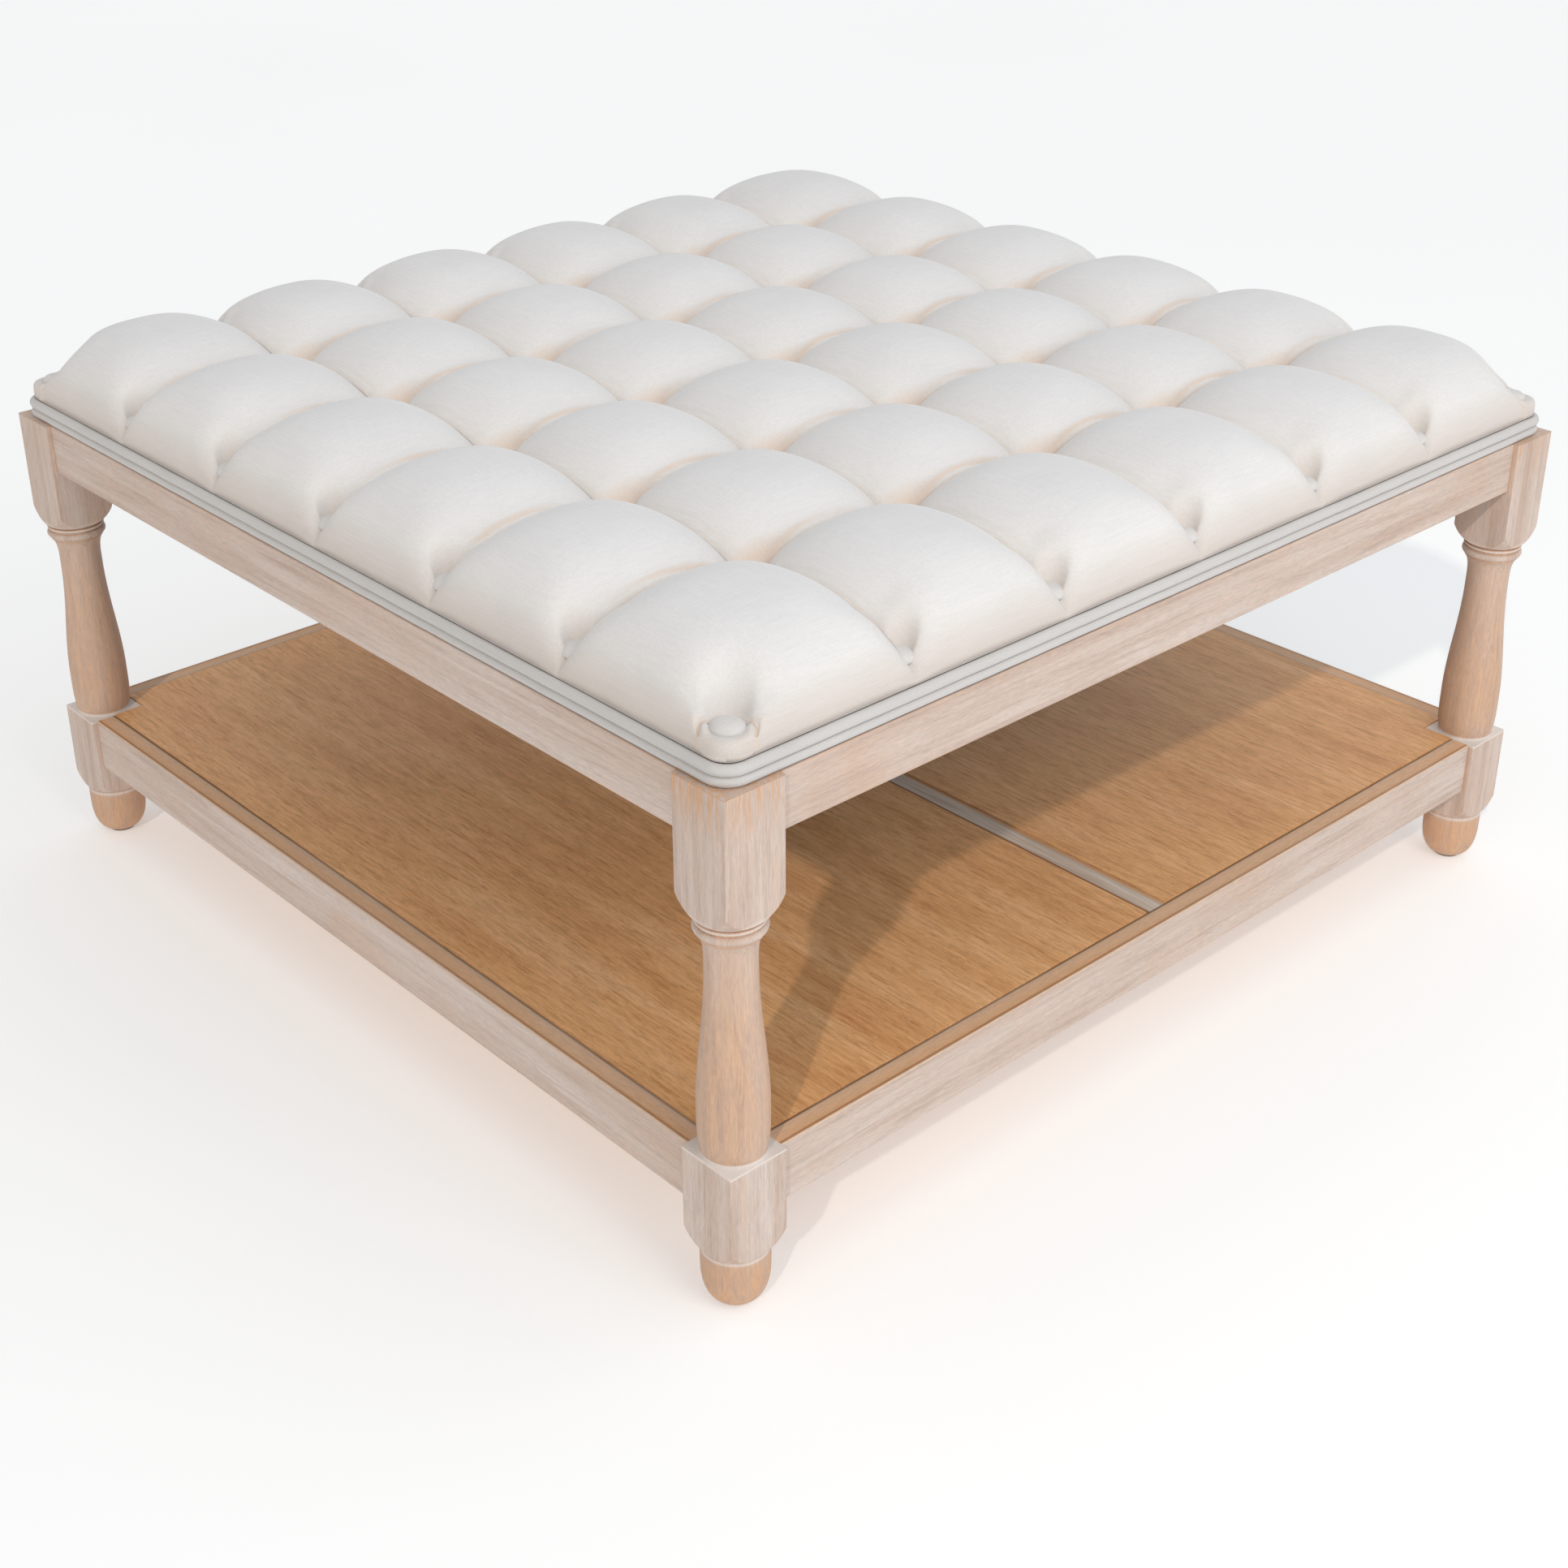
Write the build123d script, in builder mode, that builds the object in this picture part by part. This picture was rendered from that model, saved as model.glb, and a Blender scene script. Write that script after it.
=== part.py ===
from build123d import *
from math import sqrt
import os

# Ottoman coffee table: a buttoned, tufted seat on a frame with four turned legs and a low shelf.
# Millimetres, +Z up. The origin is on the floor under the middle of the table,
# +X is its right and -Y its front.

os.makedirs("parts", exist_ok=True)

# Overall size
width = 848.4
depth = 848.4
height = 450.0
seat_thickness = 74.0
shelf_height = 116.0

# Clearances shared by all pieces, and one overrun for all cuts
soft_gap = 0.3
panel_gap = 0.5
bore_gap = 0.1
bore_end_gap = 1.0
cut_over = 20.0

# Legs: square blocks with a turned column between them and a turned foot below
post = 46.0
post_arris = 1.2
upper_tail = 37.3
lower_tail = 16.5
upper_shoulder = 14.5
lower_shoulder = 12.5
shoulder_bulge = 1.0
collar_diameter = 44.6
groove_diameter = 41.0
groove_width = 1.3
ring_diameter = 44.2
ring_width = 2.6
bead_diameter = 45.6
bead_width = 5.8
neck_diameter = 32.8
neck_share = 0.767
belly_diameter = 45.6
belly_share = 0.212
root_diameter = 42.5
root_rise = 3.0
foot_ring_width = 2.4
foot_ring_diameter = 45.4
foot_diameter = 45.0
foot_round_share = 0.7
foot_flat_diameter = 24.0

# Nailed glides under the feet
glide_diameter = 21.0
glide_thickness = 2.0
nail_diameter = 2.5
nail_length = 14.0

# Rails: aprons under the seat and rebated rails round the shelf
rail_setback = 4.2
rail_arris = 1.0
apron_height = 38.7
apron_thickness = 20.0
shelf_rail_height = 42.7
shelf_rail_thickness = 22.0
shelf_strip = 16.5
panel_thickness = 12.0
panel_proud = 1.0
centre_rail_face = 20.0
centre_rail_width = 32.0
centre_rail_height = 36.0
brace_width = 28.0
brace_height = 34.0

# Dowels in the rail joints
dowel_diameter = 10.0
dowel_length = 34.0
dowel_spacing = 20.0
short_dowel_diameter = 8.0
short_dowel_length = 24.0
short_dowel_spacing = 14.0

# Corner blocks with their hanger bolts and screws
block_reach = 68.0
block_height = 27.0
block_gap = 0.3
bolt_diameter = 8.0
bolt_grip = 20.0
bolt_tail = 5.0
washer_diameter = 20.0
washer_thickness = 1.6
nut_across = 13.0
nut_height = 6.5
screw_diameter = 4.0
screw_head_diameter = 8.0
screw_head_height = 2.4
screw_bite = 13.0
side_screw_inset = 12.0
side_screw_wall = 5.0
seat_screw_edge = 12.0
seat_screw_step = 26.0
head_bore_gap = 0.5
block_head_depth = 7.0
brace_head_depth = 14.0
brace_screw_reach = 190.0

# Seat board, its under-cloth, the base felt and the double welt
cloth_thickness = 0.6
cloth_inset = 8.0
board_thickness = 15.0
felt_thickness = 7.0
felt_inset = 9.0
seat_inset = 3.2
welt_lower_radius = 3.4
welt_upper_radius = 3.8
welt_web = 3.2
corner_radius = 26.0

# Tufted cover: a square grid of pillows drawn down by sunk buttons
tufts = 6
button_inset = 25.0
well_floor = 2.9
well_lip = 1.5
edge_lip = 3.4
valley_share = 0.5957
border_shares = (0, 0.45, 0.75, 0.92, 0.98)
border_bend_share = 0.62
button_diameter = 22.0
button_height = 6.5
button_edge = 2.0
button_gap = 0.5
tie_diameter = 2.0
tie_bore = 5.0
toggle_diameter = 12.0
toggle_thickness = 2.0
toggle_recess = 3.0
toggle_gap = 1.0

# Planes and lines that the pieces share
frame_height = height - seat_thickness
leg_x = width / 2 - post / 2
leg_y = depth / 2 - post / 2
inner_x = width / 2 - post
inner_y = depth / 2 - post
face_x = width / 2 - rail_setback
face_y = depth / 2 - rail_setback
apron_low = frame_height - apron_height
apron_mid = frame_height - apron_height / 2
shelf_rail_low = shelf_height - shelf_rail_height
shelf_rail_mid = shelf_height - shelf_rail_height / 2
upper_flat_low = apron_low - upper_tail
column_top = upper_flat_low - upper_shoulder
lower_flat_low = shelf_rail_low - lower_tail
foot_top = lower_flat_low - lower_shoulder
belly_height = shelf_height + (column_top - shelf_height) * belly_share
neck_height = shelf_height + (column_top - shelf_height) * neck_share
ledge_height = shelf_height + panel_proud - panel_thickness
ledge_width = shelf_rail_thickness - shelf_strip
strip_x = face_x - shelf_strip
strip_y = face_y - shelf_strip
board_low = frame_height + cloth_thickness
board_top = board_low + board_thickness
seat_x = width / 2 - seat_inset
seat_y = depth / 2 - seat_inset
board_x = seat_x - 2 * welt_upper_radius - soft_gap
board_y = seat_y - 2 * welt_upper_radius - soft_gap
board_corner = corner_radius - 2 * welt_upper_radius
felt_x = board_x - felt_inset
felt_y = board_y - felt_inset
button_x = width / 2 - button_inset
button_y = depth / 2 - button_inset
pitch_x = 2 * button_x / tufts
pitch_y = 2 * button_y / tufts
cover_low = board_top
lip_height = cover_low + edge_lip
button_seat_height = cover_low + felt_thickness + well_floor
button_line_height = button_seat_height + well_lip
valley_height = button_line_height + (height - button_line_height) * valley_share
block_low = frame_height - block_height
bolt_z = frame_height - block_height / 2

# Planes in which each joint's dowels lie, for the joints at the back right leg.
# Local x is level and local y is up, and the normal points into the leg.
apron_line_x = face_x - apron_thickness / 2
apron_line_y = face_y - apron_thickness / 2
shelf_line_x = face_x - shelf_rail_thickness / 2
shelf_line_y = face_y - shelf_rail_thickness / 2
back_apron_end = Plane(origin=(inner_x, apron_line_y, apron_mid), x_dir=(0, 1, 0), z_dir=(1, 0, 0))
right_apron_end = Plane(origin=(apron_line_x, inner_y, apron_mid), x_dir=(-1, 0, 0), z_dir=(0, 1, 0))
back_shelf_end = Plane(origin=(inner_x, shelf_line_y, shelf_rail_mid), x_dir=(0, 1, 0), z_dir=(1, 0, 0))
right_shelf_end = Plane(origin=(shelf_line_x, inner_y, shelf_rail_mid), x_dir=(-1, 0, 0), z_dir=(0, 1, 0))
dowel_pair = [(0, -dowel_spacing / 2), (0, dowel_spacing / 2)]
dowel_radius = dowel_diameter / 2
bore_radius = dowel_radius + bore_gap
bore_depth = dowel_length / 2 + bore_end_gap

# The hanger bolt runs level and diagonally, from the corner block into the leg
diagonal = 1 / sqrt(2)
bolt_start = Plane(
    origin=(inner_x, inner_y, bolt_z),
    x_dir=(-diagonal, diagonal, 0),
    z_dir=(diagonal, diagonal, 0),
)

# Joint planes of the two middle rails, on the inner faces of the right-hand rails
short_pair = [(-short_dowel_spacing / 2, 0), (short_dowel_spacing / 2, 0)]
short_bore_radius = short_dowel_diameter / 2 + bore_gap
short_bore_depth = short_dowel_length / 2 + bore_end_gap
centre_rail_low = shelf_height - centre_rail_height
centre_rail_joint = Plane(
    origin=(face_x - shelf_rail_thickness, 0, (centre_rail_low + ledge_height) / 2),
    x_dir=(0, 1, 0),
    z_dir=(1, 0, 0),
)
brace_joint = Plane(
    origin=(face_x - apron_thickness, 0, frame_height - brace_height / 2),
    x_dir=(0, 1, 0),
    z_dir=(1, 0, 0),
)

# Corner block: it fills the corner between two aprons and is notched round the leg
block_x = face_x - apron_thickness
block_y = face_y - apron_thickness
block_face_offset = block_reach * diagonal
corner_depth = (block_x - inner_x + block_y - inner_y) * diagonal
reach_to_leg = block_face_offset - corner_depth
bolt_face = bolt_start.offset(-reach_to_leg)
side_screw_plane = Plane(
    origin=(block_x, block_y - block_reach + side_screw_inset, bolt_z),
    x_dir=(0, 1, 0),
    z_dir=(1, 0, 0),
)
back_screw_plane = Plane(
    origin=(block_x - block_reach + side_screw_inset, block_y, bolt_z),
    x_dir=(-1, 0, 0),
    z_dir=(0, 1, 0),
)
seat_screw_places = [
    (block_x - seat_screw_edge, block_y - block_reach + seat_screw_step),
    (block_x - block_reach + seat_screw_step, block_y - seat_screw_edge),
]
brace_screw_places = [(-brace_screw_reach, 0), (brace_screw_reach, 0)]
all_seat_screw_places = brace_screw_places + [
    (side_x * x, side_y * y) for x, y in seat_screw_places for side_x in (-1, 1) for side_y in (-1, 1)
]
screw_radius = screw_diameter / 2
head_bore_radius = screw_head_diameter / 2 + head_bore_gap

button_places = [
    (-button_x + column * pitch_x, -button_y + row * pitch_y)
    for row in range(tufts + 1)
    for column in range(tufts + 1)
]


def write(builder, name):
    """Labels a finished piece and writes its file."""
    builder.part.label = name
    export_step(builder.part, f"parts/{name}.step")


def write_corners(source, stem):
    """Writes the back right piece, and its mirror images for the other three corners."""
    write(source, f"{stem}_back_right")
    with BuildPart() as front_right:
        mirror(source.part, about=Plane.XZ)
    write(front_right, f"{stem}_front_right")
    with BuildPart() as back_left:
        mirror(source.part, about=Plane.YZ)
    write(back_left, f"{stem}_back_left")
    with BuildPart() as front_left:
        mirror(back_left.part, about=Plane.XZ)
    write(front_left, f"{stem}_front_left")


def disc(plane, radius, places=((0, 0),)):
    """Draws equal circles on a plane."""
    with BuildSketch(plane) as circles:
        with Locations(*places):
            Circle(radius)
    return circles.sketch


def bore(plane, radius, reach, places=((0, 0),)):
    """Cuts equal holes into the piece being built, along the plane's normal."""
    extrude(disc(plane, radius, places), amount=reach, mode=Mode.SUBTRACT)


def peg(plane, radius, reach, places=((0, 0),)):
    """Adds equal round pegs to the piece being built, along the plane's normal."""
    extrude(disc(plane, radius, places), amount=reach)


def outline(half_x, half_y, radius):
    """Draws a rectangle with rounded corners, given by its half sizes."""
    with BuildSketch() as plate:
        RectangleRounded(2 * half_x, 2 * half_y, radius)
    return plate.sketch


def shoulder_cut(leg_plane, flat_z, collar_z):
    """Draws what the lathe takes off a block's end, from the flats' end to the collar."""
    waste_radius = post / sqrt(2) + cut_over
    collar = (collar_diameter / 2, collar_z)
    flat = (post / sqrt(2), flat_z)
    middle = (
        (collar[0] + flat[0]) / 2 + shoulder_bulge,
        (collar[1] + flat[1]) / 2 - shoulder_bulge,
    )
    with BuildSketch(leg_plane) as waste:
        with BuildLine():
            ThreePointArc(collar, middle, flat)
            Polyline(flat, (waste_radius, flat_z), (waste_radius, collar_z), collar)
        make_face()
    return waste.sketch


def turned_outline(leg_plane):
    """Draws half of the leg's turned outline, from the foot up to the frame's top."""
    collar = collar_diameter / 2
    groove = groove_diameter / 2
    ring_top = column_top - groove_width
    ring_low = ring_top - ring_width
    bead_top = ring_low - groove_width
    bead_low = bead_top - bead_width
    cove_top = bead_low - groove_width
    foot_ring_low = foot_top - foot_ring_width
    foot_round_top = glide_thickness + (foot_ring_low - glide_thickness) * foot_round_share
    foot_end = (foot_flat_diameter / 2, glide_thickness)
    with BuildSketch(leg_plane) as half:
        with BuildLine():
            Line((0, glide_thickness), foot_end)
            Spline(foot_end, (foot_diameter / 2, foot_round_top), tangents=((2, 1), (0, 1)))
            Line((foot_diameter / 2, foot_round_top), (foot_diameter / 2, foot_ring_low))
            ThreePointArc(
                (foot_diameter / 2, foot_ring_low),
                (foot_ring_diameter / 2, foot_top - foot_ring_width / 2),
                (collar, foot_top),
            )
            Polyline(
                (collar, foot_top),
                (collar, shelf_height),
                (root_diameter / 2, shelf_height),
            )
            Line((root_diameter / 2, shelf_height), (root_diameter / 2, shelf_height + root_rise))
            Spline(
                (root_diameter / 2, shelf_height + root_rise),
                (belly_diameter / 2, belly_height),
                (neck_diameter / 2, neck_height),
                (groove, cove_top),
                tangents=((0.2, 1), (0, 1), (0, 1), (0.9, 1)),
            )
            Line((groove, cove_top), (groove, bead_low))
            bead_middle = (bead_diameter / 2, bead_low + bead_width / 2)
            ThreePointArc((groove, bead_low), bead_middle, (groove, bead_top))
            Line((groove, bead_top), (groove, ring_low))
            ring_middle = (ring_diameter / 2, ring_low + ring_width / 2)
            ThreePointArc((groove, ring_low), ring_middle, (groove, ring_top))
            Polyline(
                (groove, ring_top),
                (groove, column_top),
                (collar, column_top),
                (collar, frame_height),
                (0, frame_height),
                (0, glide_thickness),
            )
        make_face()
    return half.sketch


def build_legs():
    leg_axis = Axis((leg_x, leg_y, 0), (0, 0, 1))
    leg_plane = Plane(origin=(leg_x, leg_y, 0), x_dir=(1, 0, 0), z_dir=(0, -1, 0))
    with BuildPart() as leg:
        for low, high in ((foot_top, shelf_height), (column_top, frame_height)):
            with BuildSketch(Plane.XY.offset(low)):
                with Locations((leg_x, leg_y)):
                    Rectangle(post, post)
            extrude(amount=high - low)
        fillet(leg.edges().filter_by(Axis.Z), post_arris)
        revolve(shoulder_cut(leg_plane, lower_flat_low, foot_top), leg_axis, mode=Mode.SUBTRACT)
        revolve(shoulder_cut(leg_plane, upper_flat_low, column_top), leg_axis, mode=Mode.SUBTRACT)
        revolve(turned_outline(leg_plane), leg_axis)
        for end in (back_apron_end, right_apron_end, back_shelf_end, right_shelf_end):
            bore(end, bore_radius, bore_depth, dowel_pair)
        bore(bolt_start, bolt_diameter / 2 + bore_gap, bolt_grip + bore_end_gap)
        bore(Plane((leg_x, leg_y, glide_thickness)), nail_diameter / 2, nail_length)
    write_corners(leg, "leg")


def build_glides():
    with BuildPart() as glides:
        places = [(x, y) for x in (-leg_x, leg_x) for y in (-leg_y, leg_y)]
        peg(Plane.XY, glide_diameter / 2, glide_thickness, places)
        peg(Plane.XY.offset(glide_thickness), nail_diameter / 2, nail_length, places)
    write(glides, "foot_glides")


def write_pair(source, plane, first, second):
    """Writes a piece and its mirror image."""
    write(source, first)
    with BuildPart() as other:
        mirror(source.part, about=plane)
    write(other, second)


def paired_bores(end, radius, reach, places, plane):
    """Cuts a rail's end holes, from the leg's joint plane back into the rail, at both ends."""
    cutter = Plane(origin=end.origin, x_dir=end.x_dir, z_dir=-end.z_dir)
    hole = extrude(disc(cutter, radius, places), amount=reach, mode=Mode.PRIVATE)
    add(hole, mode=Mode.SUBTRACT)
    mirror(hole, about=plane, mode=Mode.SUBTRACT)


def build_aprons():
    with BuildPart() as back:
        with BuildSketch(Plane.XY.offset(apron_low)):
            with Locations((0, apron_line_y)):
                Rectangle(2 * inner_x, apron_thickness)
        extrude(amount=apron_height)
        fillet(back.faces().sort_by(Axis.Y)[-1].edges().filter_by(Axis.X), rail_arris)
        paired_bores(back_apron_end, bore_radius, bore_depth, dowel_pair, Plane.YZ)
        side_screw_bores(False)
    write_pair(back, Plane.XZ, "apron_back", "apron_front")
    with BuildPart() as right:
        with BuildSketch(Plane.XY.offset(apron_low)):
            with Locations((apron_line_x, 0)):
                Rectangle(apron_thickness, 2 * inner_y)
        extrude(amount=apron_height)
        fillet(right.faces().sort_by(Axis.X)[-1].edges().filter_by(Axis.Y), rail_arris)
        paired_bores(right_apron_end, bore_radius, bore_depth, dowel_pair, Plane.XZ)
        side_screw_bores(True)
        bore(brace_joint, short_bore_radius, short_bore_depth, short_pair)
    write_pair(right, Plane.YZ, "apron_right", "apron_left")


def build_shelf_rails():
    with BuildPart() as back:
        with BuildSketch(Plane.XY.offset(shelf_rail_low)):
            with Locations((0, shelf_line_y)):
                Rectangle(2 * inner_x, shelf_rail_thickness)
        extrude(amount=shelf_rail_height)
        with BuildSketch(Plane.XY.offset(ledge_height)):
            with Locations((0, strip_y - ledge_width / 2)):
                Rectangle(2 * inner_x, ledge_width)
        extrude(amount=cut_over, mode=Mode.SUBTRACT)
        fillet(back.faces().sort_by(Axis.Y)[-1].edges().filter_by(Axis.X), rail_arris)
        paired_bores(back_shelf_end, bore_radius, bore_depth, dowel_pair, Plane.YZ)
    write_pair(back, Plane.XZ, "shelf_rail_back", "shelf_rail_front")
    with BuildPart() as right:
        with BuildSketch(Plane.XY.offset(shelf_rail_low)):
            with Locations((shelf_line_x, 0)):
                Rectangle(shelf_rail_thickness, 2 * inner_y)
        extrude(amount=shelf_rail_height)
        with BuildSketch(Plane.XY.offset(ledge_height)):
            with Locations((strip_x - ledge_width / 2, 0)):
                Rectangle(ledge_width, 2 * inner_y)
        extrude(amount=cut_over, mode=Mode.SUBTRACT)
        fillet(right.faces().sort_by(Axis.X)[-1].edges().filter_by(Axis.Y), rail_arris)
        paired_bores(right_shelf_end, bore_radius, bore_depth, dowel_pair, Plane.XZ)
        bore(centre_rail_joint, short_bore_radius, short_bore_depth, short_pair)
    write_pair(right, Plane.YZ, "shelf_rail_right", "shelf_rail_left")


def build_centre_rail():
    with BuildPart() as rail:
        with BuildSketch(Plane.XY.offset(centre_rail_low)):
            Rectangle(2 * (face_x - shelf_rail_thickness), centre_rail_width)
        extrude(amount=ledge_height - centre_rail_low)
        with BuildSketch(Plane.XY.offset(ledge_height)):
            Rectangle(2 * strip_x, centre_rail_face)
        extrude(amount=shelf_height - ledge_height)
        paired_bores(centre_rail_joint, short_bore_radius, short_bore_depth, short_pair, Plane.YZ)
    write(rail, "shelf_centre_rail")


def build_shelf_panels():
    panel_x = strip_x - panel_gap
    panel_far = strip_y - panel_gap
    panel_near = centre_rail_face / 2 + panel_gap
    notch_x = inner_x - panel_gap
    notch_y = inner_y - panel_gap
    with BuildPart() as back:
        with BuildSketch(Plane.XY.offset(ledge_height)):
            with BuildLine():
                edge = Polyline(
                    (0, panel_near),
                    (panel_x, panel_near),
                    (panel_x, notch_y),
                    (notch_x, notch_y),
                    (notch_x, panel_far),
                    (0, panel_far),
                )
                mirror(edge, about=Plane.YZ)
            make_face()
        extrude(amount=panel_thickness)
    write_pair(back, Plane.XZ, "shelf_panel_back", "shelf_panel_front")


def build_dowels():
    with BuildPart() as apron_dowels:
        for end in (back_apron_end, right_apron_end):
            peg(end.offset(-dowel_length / 2), dowel_radius, dowel_length, dowel_pair)
        mirror(about=Plane.YZ)
        mirror(about=Plane.XZ)
    write(apron_dowels, "apron_dowels")
    with BuildPart() as shelf_dowels:
        for end in (back_shelf_end, right_shelf_end):
            peg(end.offset(-dowel_length / 2), dowel_radius, dowel_length, dowel_pair)
        mirror(about=Plane.YZ)
        mirror(about=Plane.XZ)
    write(shelf_dowels, "shelf_rail_dowels")
    for joint, name in ((centre_rail_joint, "centre_rail_dowels"), (brace_joint, "seat_brace_dowels")):
        with BuildPart() as short_dowels:
            start = joint.offset(-short_dowel_length / 2)
            peg(start, short_dowel_diameter / 2, short_dowel_length, short_pair)
            mirror(about=Plane.YZ)
        write(short_dowels, name)


def side_screw_bores(on_right):
    """Cuts the block screws' holes in an apron, at both of its ends."""
    start = side_screw_plane if on_right else back_screw_plane
    hole = extrude(disc(start, screw_radius + bore_gap), amount=screw_bite, mode=Mode.PRIVATE)
    add(hole, mode=Mode.SUBTRACT)
    mirror(hole, about=Plane.XZ if on_right else Plane.YZ, mode=Mode.SUBTRACT)


def build_corner_blocks():
    with BuildPart() as block:
        with BuildSketch(Plane.XY.offset(block_low)):
            with BuildLine():
                Polyline(
                    (block_x, block_y - block_reach),
                    (block_x, inner_y - block_gap),
                    (inner_x - block_gap, inner_y - block_gap),
                    (inner_x - block_gap, block_y),
                    (block_x - block_reach, block_y),
                    close=True,
                )
            make_face()
        extrude(amount=block_height)
        bore(bolt_face.offset(-cut_over), bolt_diameter / 2 + bore_gap, block_reach + cut_over)
        for start in (side_screw_plane, back_screw_plane):
            bore(start.offset(-block_reach), screw_radius + bore_gap, block_reach)
            bore(start.offset(-block_reach), head_bore_radius, block_reach - side_screw_wall)
        screw_floor = Plane.XY.offset(block_low)
        bore(screw_floor, screw_radius + bore_gap, block_height, seat_screw_places)
        bore(screw_floor, head_bore_radius, block_head_depth, seat_screw_places)
    write_corners(block, "corner_block")


def build_brace():
    with BuildPart() as brace:
        with BuildSketch(Plane.XY.offset(frame_height - brace_height)):
            Rectangle(2 * (face_x - apron_thickness), brace_width)
        extrude(amount=brace_height)
        paired_bores(brace_joint, short_bore_radius, short_bore_depth, short_pair, Plane.YZ)
        screw_floor = Plane.XY.offset(frame_height - brace_height)
        bore(screw_floor, screw_radius + bore_gap, brace_height, brace_screw_places)
        bore(screw_floor, head_bore_radius, brace_head_depth, brace_screw_places)
    write(brace, "seat_brace")


def build_corner_hardware():
    nut_stack = washer_thickness + nut_height + bolt_tail
    with BuildPart() as bolts:
        peg(bolt_face.offset(-nut_stack), bolt_diameter / 2, bolt_grip + nut_stack + reach_to_leg)
        mirror(about=Plane.YZ)
        mirror(about=Plane.XZ)
    write(bolts, "hanger_bolts")
    with BuildPart() as washers:
        peg(bolt_face.offset(-washer_thickness), washer_diameter / 2, washer_thickness)
        bore(bolt_face.offset(-washer_thickness), bolt_diameter / 2 + bore_gap, washer_thickness)
        mirror(about=Plane.YZ)
        mirror(about=Plane.XZ)
    write(washers, "bolt_washers")
    with BuildPart() as nuts:
        nut_face = bolt_face.offset(-washer_thickness - nut_height)
        with BuildSketch(nut_face) as hexagon:
            RegularPolygon(nut_across / 2, 6, major_radius=False)
            Circle(bolt_diameter / 2 + bore_gap, mode=Mode.SUBTRACT)
        extrude(hexagon.sketch, amount=nut_height)
        mirror(about=Plane.YZ)
        mirror(about=Plane.XZ)
    write(nuts, "bolt_nuts")


def screw(head_plane, length):
    """Adds a flat-headed screw to the piece being built. The plane's normal is its way in."""
    peg(head_plane, screw_radius, length)
    peg(head_plane, screw_head_diameter / 2, screw_head_height)


def build_screws():
    with BuildPart() as block_screws:
        for start in (side_screw_plane, back_screw_plane):
            head = start.offset(-side_screw_wall - screw_head_height)
            screw(head, screw_head_height + side_screw_wall + screw_bite - bore_end_gap)
        mirror(about=Plane.YZ)
        mirror(about=Plane.XZ)
    write(block_screws, "corner_block_screws")
    with BuildPart() as seat_screws:
        block_head = block_low + block_head_depth - screw_head_height
        for place in seat_screw_places:
            screw(Plane((*place, block_head)), board_low - block_head + screw_bite - bore_end_gap)
        mirror(about=Plane.YZ)
        mirror(about=Plane.XZ)
        brace_head = frame_height - brace_height + brace_head_depth - screw_head_height
        for place in brace_screw_places:
            screw(Plane((*place, brace_head)), board_low - brace_head + screw_bite - bore_end_gap)
    write(seat_screws, "seat_screws")


def build_board():
    with BuildPart() as cloth:
        with BuildSketch(Plane.XY.offset(frame_height)):
            RectangleRounded(2 * (board_x - cloth_inset), 2 * (board_y - cloth_inset), board_corner)
        extrude(amount=cloth_thickness)
        bore(Plane.XY.offset(frame_height), screw_radius + bore_gap, cloth_thickness, all_seat_screw_places)
    write(cloth, "under_cloth")
    with BuildPart() as board:
        with BuildSketch(Plane.XY.offset(board_low)):
            RectangleRounded(2 * board_x, 2 * board_y, board_corner)
        extrude(amount=board_thickness)
        bore(Plane.XY.offset(board_low), screw_radius + bore_gap, screw_bite, all_seat_screw_places)
        bore(Plane.XY.offset(board_low), tie_bore / 2, board_thickness, button_places)
        bore(Plane.XY.offset(board_low), toggle_diameter / 2 + toggle_gap, toggle_recess, button_places)
    write(board, "seat_board")
    with BuildPart() as felt:
        with BuildSketch(Plane.XY.offset(board_top)):
            RectangleRounded(2 * felt_x, 2 * felt_y, board_corner)
        extrude(amount=felt_thickness)
        bore(Plane.XY.offset(board_top), tie_bore / 2, felt_thickness, button_places)
    write(felt, "base_felt")


def build_welt():
    lower_z = frame_height + soft_gap + welt_lower_radius
    upper_z = lower_z + welt_lower_radius + welt_upper_radius
    line_x = seat_x - welt_upper_radius
    line_y = seat_y - welt_upper_radius
    line_corner = corner_radius - welt_upper_radius
    half_web = welt_web / 2
    with BuildPart() as welt:
        for bead_z, bead_radius in ((lower_z, welt_lower_radius), (upper_z, welt_upper_radius)):
            ring = outline(line_x, line_y, line_corner).faces()[0].outer_wire()
            start = Plane(origin=(0, -line_y, bead_z), x_dir=(0, 1, 0), z_dir=(1, 0, 0))
            sweep(disc(start, bead_radius), path=ring.moved(Location((0, 0, bead_z))))
        with BuildSketch(Plane.XY.offset(lower_z)):
            add(outline(line_x + half_web, line_y + half_web, line_corner + half_web))
            add(outline(line_x - half_web, line_y - half_web, line_corner - half_web), mode=Mode.SUBTRACT)
        extrude(amount=upper_z - lower_z)
    write(welt, "double_welt")


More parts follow.
